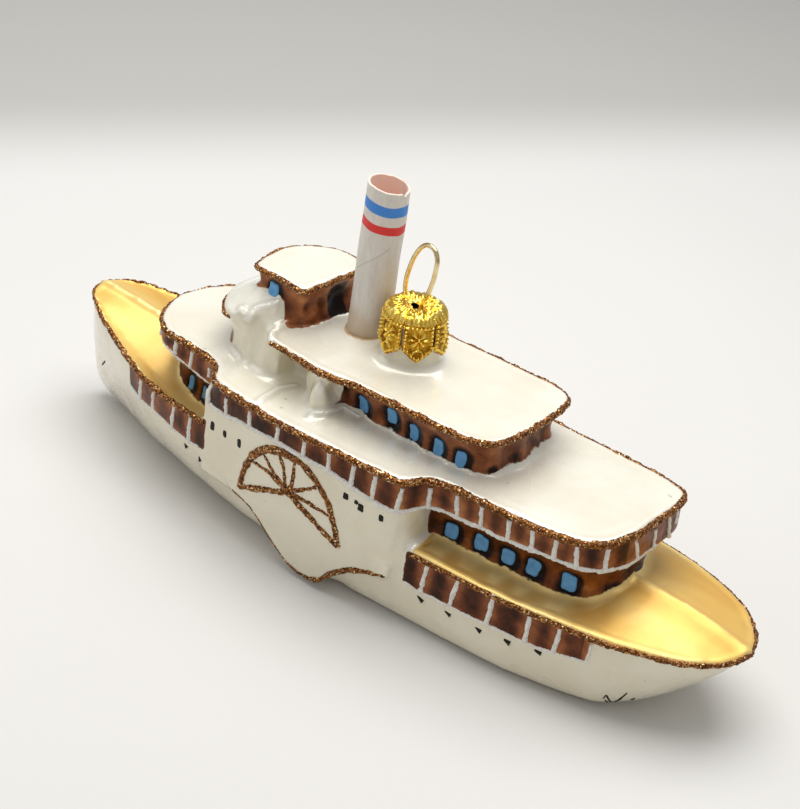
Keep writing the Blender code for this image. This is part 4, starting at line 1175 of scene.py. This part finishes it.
def make_funnel(material):
    """The rolled paper tube: a sheet wrapped round and lapped over itself, then given its thickness."""
    grid = bpy.ops.mesh.primitive_grid_add
    obj = added("paper_funnel", grid, x_subdivisions=128, y_subdivisions=96, size=2.0)
    flat = coords(obj)
    round_share = (flat[:, 0] + 1) / 2
    along = (flat[:, 1] + 1) / 2 * FUNNEL_LENGTH
    turn = round_share * 2 * math.pi * FUNNEL_WRAP + FUNNEL_EDGE_TURN + along * FUNNEL_TWIST
    lap = FUNNEL_LAP * np.clip((round_share - 1 / FUNNEL_WRAP) / 0.02, 0, 1)
    base_radius = FUNNEL_RADIUS - FUNNEL_WALL / 2
    radius = base_radius + lap + lumps(polar(1.0, turn, along * 0.12)) * FUNNEL_CRUSH
    top = np.clip((along - FUNNEL_LENGTH + 1.6) / 1.6, 0, 1)
    ragged = lumps(polar(3.0, turn, 5.0)) * 0.12
    torn = 0.5 * np.exp(-(turned_from(turn, FUNNEL_TEAR_TURN) / 0.10) ** 2)
    slant = FUNNEL_SLANT * np.cos(turn - FUNNEL_SLANT_TURN) * along / FUNNEL_LENGTH
    sunk = (FUNNEL_SUNK + 0.3 * np.cos(turn - math.radians(45))) * np.clip(1 - along / 10, 0, 1)
    x = radius * np.cos(turn)
    z = along + slant + (ragged - torn) * top - sunk
    lean_x = x * math.cos(FUNNEL_RAKE) - z * math.sin(FUNNEL_RAKE)
    lean_z = x * math.sin(FUNNEL_RAKE) + z * math.cos(FUNNEL_RAKE)
    seam_low, seam_high = FUNNEL_SEAM
    swing = turned_from(turn, FUNNEL_SEAM_TURN)
    seam_level = seam_low + (seam_high - seam_low) * swing / FUNNEL_SEAM_RUN
    set_value(obj, "height", along)
    set_value(obj, "seam", np.where(np.abs(swing - 0.9) < 1.1, along - seam_level, 9.0))
    foot = np.array(FUNNEL_FOOT)
    set_coords(obj, (np.column_stack((lean_x, radius * np.sin(turn), lean_z)) + foot) * MM)
    wall = obj.modifiers.new("paper", "SOLIDIFY")
    wall.thickness = FUNNEL_WALL * MM
    wall.offset = 0.0
    apply_all(obj)
    face_outward(obj)
    bpy.ops.object.shade_smooth_by_angle(angle=math.radians(40))
    placed = coords(obj) / MM - foot
    axis = placed[:, 0] + np.tan(FUNNEL_RAKE) * placed[:, 2]
    set_value(obj, "inside", base_radius - np.hypot(axis, placed[:, 1]))
    obj.data.name = "paper_funnel"
    obj.data.materials.append(material)
    return obj


def make_glue(material):
    """A thin ragged bead of glue where the funnel stands on the roof."""
    turn = np.linspace(0, 2 * math.pi, 120, endpoint=False)
    ring = polar(FUNNEL_RADIUS + 0.05, turn, -2.2 - 0.3 * np.cos(turn - 0.8)) + FUNNEL_FOOT
    placed, _ = laid_on_glass(ring, 0.0)
    bead = bead_line(placed, (0.2,), closed=True, wander=0.12, uneven=0.8)
    return joined("funnel_glue_line", [bead], material)


def hump(away, half):
    """A rounded ridge: 1 on its line and 0 at its edges."""
    return np.clip(1 - (away / half) ** 2, 0, 1)


def emboss(p, z, radius):
    """Height of the stamping over a petal. p runs from -1 to 1 across it."""
    half = math.pi / CAP_PETALS * radius
    a = p * math.pi / CAP_PETALS * radius
    b = z - CAP_FLOWER_Z

    def beaded(along, pitch):
        return 0.55 + 0.45 * np.sin(along * 2 * math.pi / pitch)

    tip = (z - (CAP_TIP + (CAP_SHOULDER - CAP_TIP) * np.abs(p))) * 0.8
    reach = np.hypot(a, b)
    spin = np.arctan2(b, a)
    ground = np.sin((a + z) * 2 * math.pi / 0.62) * np.sin((a - z) * 2 * math.pi / 0.62)
    raised = np.maximum.reduce((
        hump(half - np.abs(a) - 0.5, 0.3) * beaded(z, 0.72),
        hump(tip - 0.5, 0.3) * beaded(a, 0.72),
        hump(z - CAP_BAND_Z, 0.35) * beaded(a, 0.8),
        hump(reach - 1.0, 0.8) * np.clip(np.cos(4 * (spin - math.pi / 4)), 0, 1) ** 1.5,
        hump(reach - 1.25, 1.1) * np.clip(np.cos(4 * spin), 0, 1) ** 8 * 0.8,
        hump(reach, 0.4),
        hump(np.hypot(a, z - 42.6) - 1.1, 0.22) * (z > 42.4) * 0.8,
    ))
    return np.clip(raised + ground * 0.22 * (1 - raised), 0, 1)


def cap_petal(index):
    """One sixth of the cap: a slice of its top and the petal that hangs from it."""
    grid = bpy.ops.mesh.primitive_grid_add
    obj = added("petal", grid, x_subdivisions=54, y_subdivisions=100, size=2.0)
    flat = coords(obj)
    p = flat[:, 0]
    v = (1 - flat[:, 1]) / 2
    rings = np.array(CAP_TOP_RINGS)
    skirt = np.array(CAP_SKIRT)
    on_top = v < CAP_TOP_SHARE
    t = np.clip(v / CAP_TOP_SHARE, 0, 1)
    top_radius, top_z = (np.interp(t, np.linspace(0, 1, len(rings)), column) for column in rings.T)
    hem = CAP_TIP + (CAP_SHOULDER - CAP_TIP) * np.abs(p)
    down = np.clip((v - CAP_TOP_SHARE) / (1 - CAP_TOP_SHARE), 0, 1)
    skirt_z = skirt[0, 0] + (hem - skirt[0, 0]) * down
    radius = np.where(on_top, top_radius, np.interp(-skirt_z, -skirt[:, 0], skirt[:, 1]))
    z = np.where(on_top, top_z, skirt_z)
    slit = np.clip((CAP_SLIT_TOP - z) / 3, 0, 1) * 0.045 + np.where(z < CAP_SLIT_TOP, 0.02, 0)
    angle = math.radians(CAP_FACING) + (2 * index + p * (1 - slit)) * math.pi / CAP_PETALS
    ropes = np.sin(angle * 42) * hump(radius - 5.3, 0.5) * 0.2
    ropes += np.sin(angle * 24) * hump(radius - 3.6, 1.1) * 0.14
    ropes += lumps(polar(radius, angle, 3.0), 1.3) * 0.3
    stamp = emboss(p, z, radius)
    raised = np.where(on_top, ropes, (stamp - 0.9) * CAP_RELIEF) + lumps(polar(radius, angle, z), 0.45) * 0.18
    radius = radius + np.where(on_top, 0, raised)
    z = z + np.where(on_top, raised, 0)
    set_coords(obj, polar(radius, angle, z) * MM)
    set_value(obj, "stamp", np.where(on_top, 0.55 + ropes * 1.6, stamp))
    return obj


def make_cap(material):
    cap = joined("gilt_cap", [cap_petal(index) for index in range(CAP_PETALS)], material)
    foil = cap.modifiers.new("sheet", "SOLIDIFY")
    foil.thickness = CAP_SHEET * MM
    foil.offset = -1.0
    apply_all(cap)
    face_outward(cap)
    bpy.ops.object.shade_smooth_by_angle(angle=math.radians(60))
    return cap


def make_loop(material):
    points = np.array(LOOP_POINTS)
    smooth = []
    for i in range(len(points) - 1):
        before, start = points[max(i - 1, 0)], points[i]
        end, after = points[i + 1], points[min(i + 2, len(points) - 1)]
        for t in np.linspace(0, 1, 12, endpoint=False):
            smooth.append(
                0.5 * ((2 * start) + (end - before) * t + (2 * before - 5 * start + 4 * end - after) * t**2
                + (3 * start - before - 3 * end + after) * t**3)
            )
    smooth.append(points[-1])
    path = np.array([(u * math.cos(LOOP_TURN), u * math.sin(LOOP_TURN), z) for u, z in smooth])
    wire = bead_line(path, (LOOP_RADIUS,), wander=0.0, uneven=0.0, sides=6)
    return joined("wire_loop", [wire], material)


def make_camera():
    azimuth, elevation, roll = (math.radians(v) for v in (AZIMUTH, ELEVATION, ROLL))
    level = math.cos(elevation)
    back = Vector((math.sin(azimuth) * level, -math.cos(azimuth) * level, math.sin(elevation)))
    right = Vector((math.cos(azimuth), math.sin(azimuth), 0.0))
    up = back.cross(right)
    right_rolled = right * math.cos(roll) + up * math.sin(roll)
    up_rolled = up * math.cos(roll) - right * math.sin(roll)
    camera = bpy.data.objects.new("camera", bpy.data.cameras.new("camera"))
    bpy.context.scene.collection.objects.link(camera)
    turn = Matrix((right_rolled, up_rolled, back)).transposed().to_4x4()
    camera.matrix_world = Matrix.Translation(Vector(EYE) * MM) @ turn
    camera.data.sensor_width = 36.0
    camera.data.lens = FOCAL_PIXELS / LONG_SIDE_PIXELS * camera.data.sensor_width
    camera.data.clip_start = 0.01
    bpy.context.scene.camera = camera


def node(tree, kind, settings=None, **inputs):
    """A shader node with its settings and inputs."""
    made = tree.nodes.new(kind)
    for name, value in (settings or {}).items():
        setattr(made, name, value)
    feed(tree, made, **inputs)
    return made


def calc(tree, operation, first, second=0.0, third=0.0):
    return node(tree, "ShaderNodeMath", {"operation": operation}, i0=first, i1=second, i2=third).outputs[0]


def vectors(tree, operation, first, second):
    return node(tree, "ShaderNodeVectorMath", {"operation": operation}, i0=first, i1=second)


def fade(tree, value, low, high, to_low=0.0, to_high=1.0):
    """A soft step from one value to another."""
    step = node(
        tree, "ShaderNodeMapRange", {"interpolation_type": "SMOOTHSTEP"},
        i0=value, i1=low, i2=high, i3=to_low, i4=to_high,
    )
    return step.outputs[0]


def blend(tree, share, first, second, how="MIX"):
    settings = {"data_type": "RGBA", "blend_type": how}
    return node(tree, "ShaderNodeMix", settings, i0=share, i6=first, i7=second).outputs[2]


def grain(tree, place, scale, detail=2.0, rough=0.5):
    made = node(tree, "ShaderNodeTexNoise", None, Vector=place, Scale=scale, Detail=detail, Roughness=rough)
    return made.outputs["Fac"]


def ramp(tree, value, stops):
    made = node(tree, "ShaderNodeValToRGB", None, Fac=value)
    line = made.color_ramp
    while len(line.elements) < len(stops):
        line.elements.new(0.5)
    for element, (at, colour) in zip(line.elements, stops):
        element.position = at
        element.color = (*colour, 1.0)
    return made.outputs["Color"]


def object_place(tree):
    return node(tree, "ShaderNodeTexCoord").outputs["Object"]


def read(tree, name):
    return node(tree, "ShaderNodeAttribute", {"attribute_name": name}).outputs["Fac"]


def start_material(name):
    material = bpy.data.materials.new(name)
    material.use_nodes = True
    tree = material.node_tree
    return material, tree, tree.nodes["Principled BSDF"]


def feed(tree, target, **inputs):
    """Sets a node's inputs to values, or links them from other nodes. i3 is the input with that number."""
    for name, value in inputs.items():
        socket = target.inputs[int(name[1:]) if name[1:].isdigit() else name.replace("_", " ")]
        if isinstance(value, bpy.types.NodeSocket):
            tree.links.new(value, socket)
        else:
            socket.default_value = value


def bump(tree, height, strength, distance):
    made = node(tree, "ShaderNodeBump", None, Height=height, Strength=strength, Distance=distance * MM)
    return made.outputs["Normal"]


def new_group(name, inputs, outputs):
    group = bpy.data.node_groups.new(name, "ShaderNodeTree")
    for label, kind in inputs:
        group.interface.new_socket(label, in_out="INPUT", socket_type=kind)
    for label, kind in outputs:
        group.interface.new_socket(label, in_out="OUTPUT", socket_type=kind)
    return group, group.nodes.new("NodeGroupInput"), group.nodes.new("NodeGroupOutput")


def lacquer_group():
    """The ornament's painting: brown lacquer over a ground, by zones measured on the glass."""
    group, given, result = new_group(
        "hand painting",
        [("Ground", "NodeSocketColor"), ("Stain", "NodeSocketColor"), ("Brown", "NodeSocketFloat"),
         ("Dark", "NodeSocketFloat"), ("Hollow", "NodeSocketFloat"), ("Panel", "NodeSocketFloat"),
         ("Glow", "NodeSocketFloat"), ("Vector", "NodeSocketVector")],
        [("Color", "NodeSocketColor"), ("Lacquer", "NodeSocketFloat")],
    )
    place = given.outputs["Vector"]
    wobble = calc(group, "MULTIPLY_ADD", grain(group, place, 900.0), 0.5, -0.25)
    brown = calc(group, "ADD", given.outputs["Brown"], wobble)
    mask = fade(group, brown, -0.08, 0.1)
    shade = calc(group, "MULTIPLY_ADD", grain(group, place, 230.0, 3.0, 0.55), 1.1, given.outputs["Glow"])
    shade = calc(group, "MULTIPLY_ADD", given.outputs["Hollow"], -0.6, shade)
    shade = calc(group, "ADD", shade, fade(group, brown, 0.1, 0.9, 0.10, -0.03))
    shade = calc(group, "ADD", shade, fade(group, given.outputs["Panel"], 0.6, 2.9, 0.12, -0.20))
    lacquer = ramp(group, shade, (
        (0.0, (0.008, 0.002, 0.001)), (0.28, (0.042, 0.012, 0.004)), (0.5, (0.135, 0.038, 0.013)),
        (0.72, (0.290, 0.095, 0.032)), (1.0, (0.55, 0.24, 0.085)),
    ))
    lacquer = blend(group, 1.0, lacquer, given.outputs["Stain"], "MULTIPLY")
    dark = calc(group, "ADD", given.outputs["Dark"], wobble)
    lacquer = blend(group, fade(group, dark, -0.2, 0.4, 0.0, 0.96), lacquer, (0.003, 0.001, 0.001, 1.0))
    colour = blend(group, mask, given.outputs["Ground"], lacquer)
    group.links.new(colour, result.inputs["Color"])
    group.links.new(mask, result.inputs["Lacquer"])
    return group


def painted(tree, group, ground, stain, glow):
    return node(
        tree, "ShaderNodeGroup", {"node_tree": group}, Ground=ground, Stain=stain, Brown=read(tree, "brown"),
        Dark=read(tree, "dark"), Hollow=read(tree, "hollow"), Panel=read(tree, "panel"), Glow=glow,
        Vector=object_place(tree),
    )


def pearl_material(group):
    """Blown glass lined with silver and lacquered a warm pearl white."""
    material, tree, shader = start_material("pearl_lacquered_glass")
    place = object_place(tree)
    cloud = grain(tree, place, 60.0, 4.0, 0.6)
    ground = blend(tree, fade(tree, cloud, 0.35, 0.65), PEARL_SHADE, PEARL)
    # Painted shade: darker pearl on upright walls than on tops
    walls = fade(tree, read(tree, "upward"), 0.15, 0.85, 1.0, 0.0)
    ground = blend(tree, walls, ground, PEARL_WALL_SHADE, "MULTIPLY")
    cells = node(tree, "ShaderNodeTexVoronoi", {"feature": "F1"}, Vector=place, Scale=420.0)
    dust = fade(tree, cells.outputs["Distance"], 0.10, 0.16, 1.0, 0.0)
    dust = calc(tree, "MULTIPLY", dust, fade(tree, grain(tree, place, 150.0), 0.62, 0.66, 0.0, 0.4))
    ground = blend(tree, dust, ground, (0.30, 0.27, 0.22, 1.0))
    thin = fade(tree, read(tree, "hollow"), -0.1, -0.9, 0.0, 0.5)
    ground = blend(tree, thin, ground, (0.93, 0.92, 0.86, 1.0))
    wobble = calc(tree, "MULTIPLY_ADD", grain(tree, place, 800.0), 0.4, -0.2)
    deck_edge = calc(tree, "ADD", read(tree, "gold"), wobble)
    ground = blend(tree, fade(tree, deck_edge, 0.05, 0.25), ground, (0.80, 0.52, 0.17, 1.0))
    # Painted highlight along sharp creases, with a band of painted shade beside each
    near = calc(tree, "ADD", read(tree, "crease"), calc(tree, "MULTIPLY", grain(tree, place, 500.0), 0.5))
    crease = fade(tree, near, 0.3, 0.6, 1.0, 0.0)
    beside = calc(tree, "MULTIPLY", fade(tree, near, 0.55, 0.85), fade(tree, near, 0.9, 1.9, 0.4, 0.0))
    ground = blend(tree, beside, ground, (0.50, 0.46, 0.37, 1.0))
    ground = blend(tree, calc(tree, "MULTIPLY", crease, 0.9), ground, (1.0, 1.0, 0.97, 1.0))
    paint = painted(tree, group, ground, (1.0, 1.0, 1.0, 1.0), 0.0)
    lacquer = paint.outputs["Lacquer"]
    feed(
        tree, shader, Base_Color=paint.outputs["Color"], Metallic=PEARL_METALLIC, Coat_Roughness=0.06,
        Coat_Weight=fade(tree, lacquer, 0.0, 1.0, 1.0, 0.1), Specular_IOR_Level=0.1,
        Roughness=calc(tree, "MULTIPLY_ADD", grain(tree, place, 90.0), 0.12, 0.22),
    )
    relief = calc(tree, "MULTIPLY_ADD", cloud, 0.35, calc(tree, "MULTIPLY", grain(tree, place, 240.0), 0.10))
    relief = calc(tree, "ADD", relief, calc(tree, "MULTIPLY", lacquer, 0.05))
    relief = calc(tree, "MULTIPLY_ADD", crease, 0.6, relief)
    feed(tree, shader, Normal=bump(tree, relief, 0.5, 0.6))
    return material


def gold_material(group):
    """Satin gold lacquer on the hull's decks, brown at the foot of the houses."""
    material, tree, shader = start_material("satin_gold_lacquer")
    place = object_place(tree)
    stretched = node(tree, "ShaderNodeMapping", None, Vector=place, Scale=(0.35, 1.0, 1.0)).outputs["Vector"]
    tint = calc(tree, "MULTIPLY_ADD", grain(tree, stretched, 110.0, 3.0), 0.9, 0.05)
    # Painted highlight: the gold is lighter where the deck bends, in fillets and over ridges
    bent = calc(tree, "ABSOLUTE", read(tree, "hollow"))
    tint = calc(tree, "MULTIPLY_ADD", bent, 0.5, tint)
    ground = ramp(tree, tint, (
        (0.2, (0.70, 0.37, 0.08)), (0.45, (0.87, 0.53, 0.13)), (0.7, (0.94, 0.65, 0.21)),
        (1.0, (1.0, 0.82, 0.38)),
    ))
    # Painted shade: the flat middle of the aft side decks, under the promenade, is darker
    along = node(tree, "ShaderNodeSeparateXYZ", None, Vector=place).outputs["X"]
    ahead = fade(tree, along, -0.016, -0.010, 1.0, 0.0)
    side_deck_shade = calc(tree, "MULTIPLY", fade(tree, along, -0.060, -0.046), ahead)
    side_deck_shade = calc(tree, "MULTIPLY", side_deck_shade, fade(tree, bent, 0.04, 0.26, 1.0, 0.0))
    ground = blend(tree, side_deck_shade, ground, (0.62, 0.60, 0.66, 1.0), "MULTIPLY")
    # Painted highlight: brighter gold along the foot of the house walls
    foot = calc(tree, "MULTIPLY_ADD", grain(tree, place, 160.0), 0.9, read(tree, "brown"))
    ground = blend(tree, fade(tree, foot, -0.4, 0.4, 0.0, 0.55), ground, (1.0, 0.84, 0.40, 1.0))
    paint = painted(tree, group, ground, (1.05, 0.95, 0.45, 1.0), -0.04)
    feed(
        tree, shader, Base_Color=paint.outputs["Color"], Metallic=0.4, Coat_Roughness=0.12, Coat_Weight=0.1,
        Roughness=calc(tree, "MULTIPLY_ADD", grain(tree, place, 500.0), 0.12, 0.34), Specular_IOR_Level=0.15,
        Normal=bump(tree, grain(tree, place, 170.0), 0.25, 0.5),
    )
    return material


def glitter_material():
    """Copper, gold and dark glitter flakes set in clear glue."""
    material, tree, shader = start_material("copper_glitter")
    place = object_place(tree)
    flakes = node(tree, "ShaderNodeTexVoronoi", {"feature": "F1"}, Vector=place, Scale=4200.0, Randomness=1.0)
    spots = node(tree, "ShaderNodeTexVoronoi", {"feature": "F1"}, Vector=place, Scale=2400.0, Randomness=1.0)
    pick = node(tree, "ShaderNodeSeparateColor", None, Color=flakes.outputs["Color"])
    colour = ramp(tree, pick.outputs["Red"], (
        (0.0, (0.040, 0.012, 0.003)), (0.32, (0.130, 0.042, 0.010)), (0.6, (0.25, 0.090, 0.022)),
        (0.85, (0.42, 0.18, 0.050)), (0.95, (0.78, 0.45, 0.17)), (1.0, (1.0, 0.85, 0.55)),
    ))
    away = vectors(tree, "SUBTRACT", place, flakes.outputs["Position"]).outputs[0]
    tilt = vectors(tree, "SUBTRACT", flakes.outputs["Color"], (0.5, 0.5, 0.5)).outputs[0]
    facet = vectors(tree, "DOT_PRODUCT", away, tilt)
    spread = calc(tree, "MULTIPLY", spots.outputs["Distance"], -0.5)
    height = calc(tree, "MULTIPLY_ADD", facet.outputs["Value"], 2800.0, spread)
    feed(
        tree, shader, Base_Color=colour, Metallic=fade(tree, pick.outputs["Green"], 0.35, 0.5, 0.15, 0.95),
        Roughness=fade(tree, pick.outputs["Blue"], 0.2, 0.9, 0.25, 0.55), Specular_IOR_Level=0.2,
        Normal=bump(tree, height, 0.8, 0.2),
    )
    return material


def paint_material(name, low, high, roughness, coat, scale=700.0):
    """Thick paint, uneven in colour and slightly pitted."""
    material, tree, shader = start_material(name)
    place = object_place(tree)
    spread = grain(tree, place, scale, 3.0, 0.6)
    feed(
        tree, shader, Base_Color=ramp(tree, spread, ((0.3, low), (0.7, high))), Coat_Weight=coat,
        Coat_Roughness=0.1, Specular_IOR_Level=0.2,
        Roughness=calc(tree, "MULTIPLY_ADD", grain(tree, place, scale * 1.7), 0.2, roughness),
        Normal=bump(tree, grain(tree, place, scale * 2.4, 3.0), 0.35, 0.12),
    )
    return material


def paper_material():
    """White paper with two painted bands, pinkish inside and brown where the glue has soaked in."""
    material, tree, shader = start_material("funnel_paper")
    place = object_place(tree)
    height = read(tree, "height")
    turn = node(tree, "ShaderNodeMapping", None, Vector=place, Scale=(1.0, 1.0, 0.25)).outputs["Vector"]
    wobble = calc(tree, "MULTIPLY_ADD", grain(tree, place, 160.0, 2.0), 1.1, -0.55)
    level = calc(tree, "ADD", height, wobble)
    fibre = grain(tree, turn, 900.0, 4.0, 0.7)
    colour = ramp(tree, fibre, ((0.3, (0.66, 0.61, 0.54)), (0.7, (0.78, 0.74, 0.67))))
    seam = fade(tree, calc(tree, "ABSOLUTE", read(tree, "seam")), 0.05, 0.3, 0.3, 0.0)
    colour = blend(tree, seam, colour, (0.30, 0.25, 0.19, 1.0))
    soaked = calc(tree, "MULTIPLY_ADD", grain(tree, place, 200.0), -5.0, height)
    stain = fade(tree, soaked, 4.0, -3.0)
    colour = blend(tree, calc(tree, "MULTIPLY", stain, 0.7), colour, (0.50, 0.33, 0.17, 1.0))
    for low, high, paint in ((*BLUE_STRIPE, (0.050, 0.25, 0.68)), (*RED_STRIPE, (0.74, 0.030, 0.022))):
        above = fade(tree, level, low - STRIPE_EDGE, low + STRIPE_EDGE)
        band = calc(tree, "MINIMUM", above, fade(tree, level, high + STRIPE_EDGE, high - STRIPE_EDGE))
        colour = blend(tree, band, colour, (*paint, 1.0))
    colour = blend(tree, fade(tree, read(tree, "inside"), -0.03, 0.03), colour, (0.97, 0.72, 0.62, 1.0))
    feed(
        tree, shader, Base_Color=colour, Roughness=calc(tree, "MULTIPLY_ADD", fibre, 0.2, 0.45),
        Subsurface_Weight=0.3, Subsurface_Radius=(1.0, 0.8, 0.7), Subsurface_Scale=0.0006,
        Normal=bump(tree, fibre, 0.12, 0.3),
    )
    return material


def metal_material(name, colours, roughness, bumps, stamp=None):
    """Thin bright metal in random patches of tone. stamp names the attribute that holds its embossing, which
    paints the raised stamping lighter and its hollows darker as painted highlight and shade.
    """
    material, tree, shader = start_material(name)
    place = object_place(tree)
    patch = grain(tree, place, 500.0, 3.0, 0.6)
    if stamp:
        # Painted highlight and shade: raised stamping lighter, its hollows darker
        patch = calc(tree, "MULTIPLY_ADD", read(tree, stamp), 0.55, calc(tree, "MULTIPLY", patch, 0.55))
    colour = ramp(tree, patch, tuple(zip((0.25, 0.45, 0.75), colours)))
    feed(
        tree, shader, Base_Color=colour, Metallic=1.0,
        Roughness=calc(tree, "MULTIPLY_ADD", grain(tree, place, 1500.0), 0.16, roughness),
        Normal=bump(tree, grain(tree, place, 2600.0, 3.0), bumps, 0.08),
    )
    return material


def table_material():
    """White photo-table paper, a little warm and very slightly mottled."""
    material, tree, shader = start_material("white_table_paper")
    place = object_place(tree)
    colour = blend(tree, grain(tree, place, 8.0, 3.0), (0.725, 0.712, 0.690, 1.0), (0.755, 0.743, 0.722, 1.0))
    # Painted shade: grey far from the camera
    away = vectors(tree, "DOT_PRODUCT", place, TABLE_SHADE_WAY)
    colour = blend(tree, fade(tree, away.outputs["Value"], *TABLE_SHADE), colour, (0.50, 0.49, 0.465, 1.0))
    feed(
        tree, shader, Base_Color=colour,
        Roughness=fade(tree, grain(tree, place, 900.0), 0.2, 0.8, 0.55, 0.7),
        Normal=bump(tree, grain(tree, place, 1200.0), 0.04, 0.1),
    )
    return material


def make_table(material):
    """The table that the ornament stands on."""
    deselect()
    bpy.ops.mesh.primitive_plane_add(size=TABLE_SIZE * MM)
    obj = bpy.context.object
    obj.name = "photo_table"
    obj.data.materials.append(material)
    return obj


def area_light(name, place, target, width, height, power, colour):
    light = bpy.data.lights.new(name, "AREA")
    light.shape = "RECTANGLE"
    light.size = width * MM
    light.size_y = height * MM
    light.energy = power
    light.color = colour
    obj = bpy.data.objects.new(name, light)
    bpy.context.scene.collection.objects.link(obj)
    turn = (Vector(target) - Vector(place)).to_track_quat("-Z", "Y")
    obj.matrix_world = Matrix.Translation(Vector(place) * MM) @ turn.to_matrix().to_4x4()


def make_light():
    world = bpy.data.worlds.new("soft studio")
    bpy.context.scene.world = world
    world.use_nodes = True
    ground = world.node_tree.nodes["Background"]
    ground.inputs["Color"].default_value = (0.96, 0.97, 1.0, 1.0)
    ground.inputs["Strength"].default_value = WORLD_STRENGTH
    for row in LIGHTS:
        area_light(*row)


make_camera()
make_light()
bpy.context.scene.view_settings.view_transform = "Standard"

PAINTING = lacquer_group()
BODY = make_body(pearl_material(PAINTING), gold_material(PAINTING))
GLASS = glass_tree(BODY)
GLITTER = glitter_material()
RELIEF = paint_material("white_relief_paint", (0.66, 0.64, 0.57), (0.90, 0.88, 0.82), 0.45, 0.1, 2200.0)
BLUE = paint_material("blue_window_paint", (0.080, 0.29, 0.55), (0.14, 0.40, 0.71), 0.3, 0.5)
BLACK = paint_material("black_line_paint", (0.004, 0.004, 0.003), (0.012, 0.010, 0.007), 0.5, 0.1)
GLUE = paint_material("amber_glue", (0.50, 0.30, 0.12), (0.72, 0.50, 0.24), 0.15, 0.8)
GILT_COLOURS = ((0.24, 0.090, 0.004), (0.86, 0.50, 0.045), (1.0, 0.75, 0.17))
BRASS_COLOURS = ((0.50, 0.38, 0.18), (0.74, 0.58, 0.30), (0.84, 0.70, 0.42))
GILT = metal_material("gilt_cap", GILT_COLOURS, 0.16, 0.3, "stamp")
BRASS = metal_material("brass_wire", BRASS_COLOURS, 0.14, 0.1)

PIECES = [
    (BODY, "ornament", "pearl_glass", ("glass_body",)),
    (make_funnel(paper_material()), "ornament", "funnel_paper", ("funnel_tube",)),
    (make_cap(GILT), "hanger", "gilt_cap", ("hanger_cap",)),
    (make_loop(BRASS), "hanger", "brass_wire", ("hanger_wire",)),
    (make_glue(GLUE), "ornament", "amber_glue", ("funnel_glue",)),
]
PROMENADE_EDGE = outline_line(PROMENADE, PROMENADE_TOP - 0.75, PROMENADE_AFT_SHIFT)
UPPER_ROOF_EDGE = outline_line(UPPER_ROOF, ROOF_TOP - 0.7, ROOF_AFT_SHIFT, keep=20.8)
WHEELHOUSE_EDGE = outline_line(WHEELHOUSE_ROOF, WHEELHOUSE_TOP - 0.75)
BOW_WIDTHS = (0.45, 0.58, 0.52, 0.4, 0.3, 0.4, 0.52, 0.58, 0.45)
STERN_WIDTHS = (0.42, *[0.46] * 5, 0.42)
# Name, node, points, widths from end to end, whether it closes, how far above the glass
GLITTER_LINES = (
    ("bow_rim_glitter", "rim_glitter_bow", rim_line(29.5, HULL[-1, 0]), BOW_WIDTHS, False, 0.0),
    ("stern_rim_glitter", "rim_glitter_stern", rim_line(-17.4, HULL[0, 0]), STERN_WIDTHS, False, 0.0),
    ("promenade_edge_glitter", "promenade_glitter", PROMENADE_EDGE, (0.4, *[0.64] * 20, 0.4), True, 0.0),
    ("upper_roof_edge_glitter", "upper_roof_glitter", UPPER_ROOF_EDGE, (0.45, *[0.6] * 16, 0.45), False, 0.0),
    ("bridge_edge_glitter", "bridge_glitter", bridge_line(), (0.3, *[0.42] * 6, 0.3), False, 0.05),
    ("wheelhouse_edge_glitter", "wheelhouse_glitter", WHEELHOUSE_EDGE, (0.5,), True, 0.0),
)
for NAME, NODE, *RUN in GLITTER_LINES:
    PIECES.append((glitter_on(NAME, [RUN], GLITTER), "ornament", "copper_glitter", (NODE,)))
for SIDE, WORD in ((1, "port"), (-1, "starboard")):
    for NAME, NODE, RUNS in (("fan", "wheel_fan", fan_runs), ("lower_box_line", "box_line", box_line_runs)):
        LINE = glitter_on(f"{NAME}_{WORD}", RUNS(SIDE), GLITTER)
        PIECES.append((LINE, "ornament", "copper_glitter", (f"{NODE}_{WORD}",)))
    LINE = relief_on(f"relief_lines_{WORD}", relief_runs(SIDE), RELIEF)
    PIECES.append((LINE, "ornament", "white_relief", (f"relief_rail_{WORD}",)))

BLUES = [dab(row[:3], row[3] * 0.9, row[4] * 0.95, 0.3) for row in window_rows()]
PIECES.append((joined("blue_windows", BLUES, BLUE), "ornament", "pearl_glass", ()))
BLACKS = [dab((x, y * side, z), *sizes, 0.12) for x, y, z, *sizes in PORTHOLES for side in (1, -1)]
for SIDE in (1, -1):
    for WEDGE in WEDGES:
        PLACED, _ = laid_on_glass(resampled(np.array(WEDGE) * (1, SIDE, 1), 0.25), -0.25)
        BLACKS.append(bead_line(PLACED, (0.3, 0.45, 0.6), wander=0.0, uneven=0.2))
for MARK in MARKS:
    PLACED, _ = laid_on_glass(resampled(MARK, 0.3), 0.0)
    BLACKS.append(bead_line(PLACED, (0.12, 0.18, 0.12), wander=0.0))
PIECES.append((joined("black_portholes", BLACKS, BLACK), "ornament", "pearl_glass", ()))

for PIECE, CARRIER, SLOT, NODES in PIECES:
    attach(PIECE, CARRIER)
    if NODES:
        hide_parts(*NODES)

make_table(table_material())
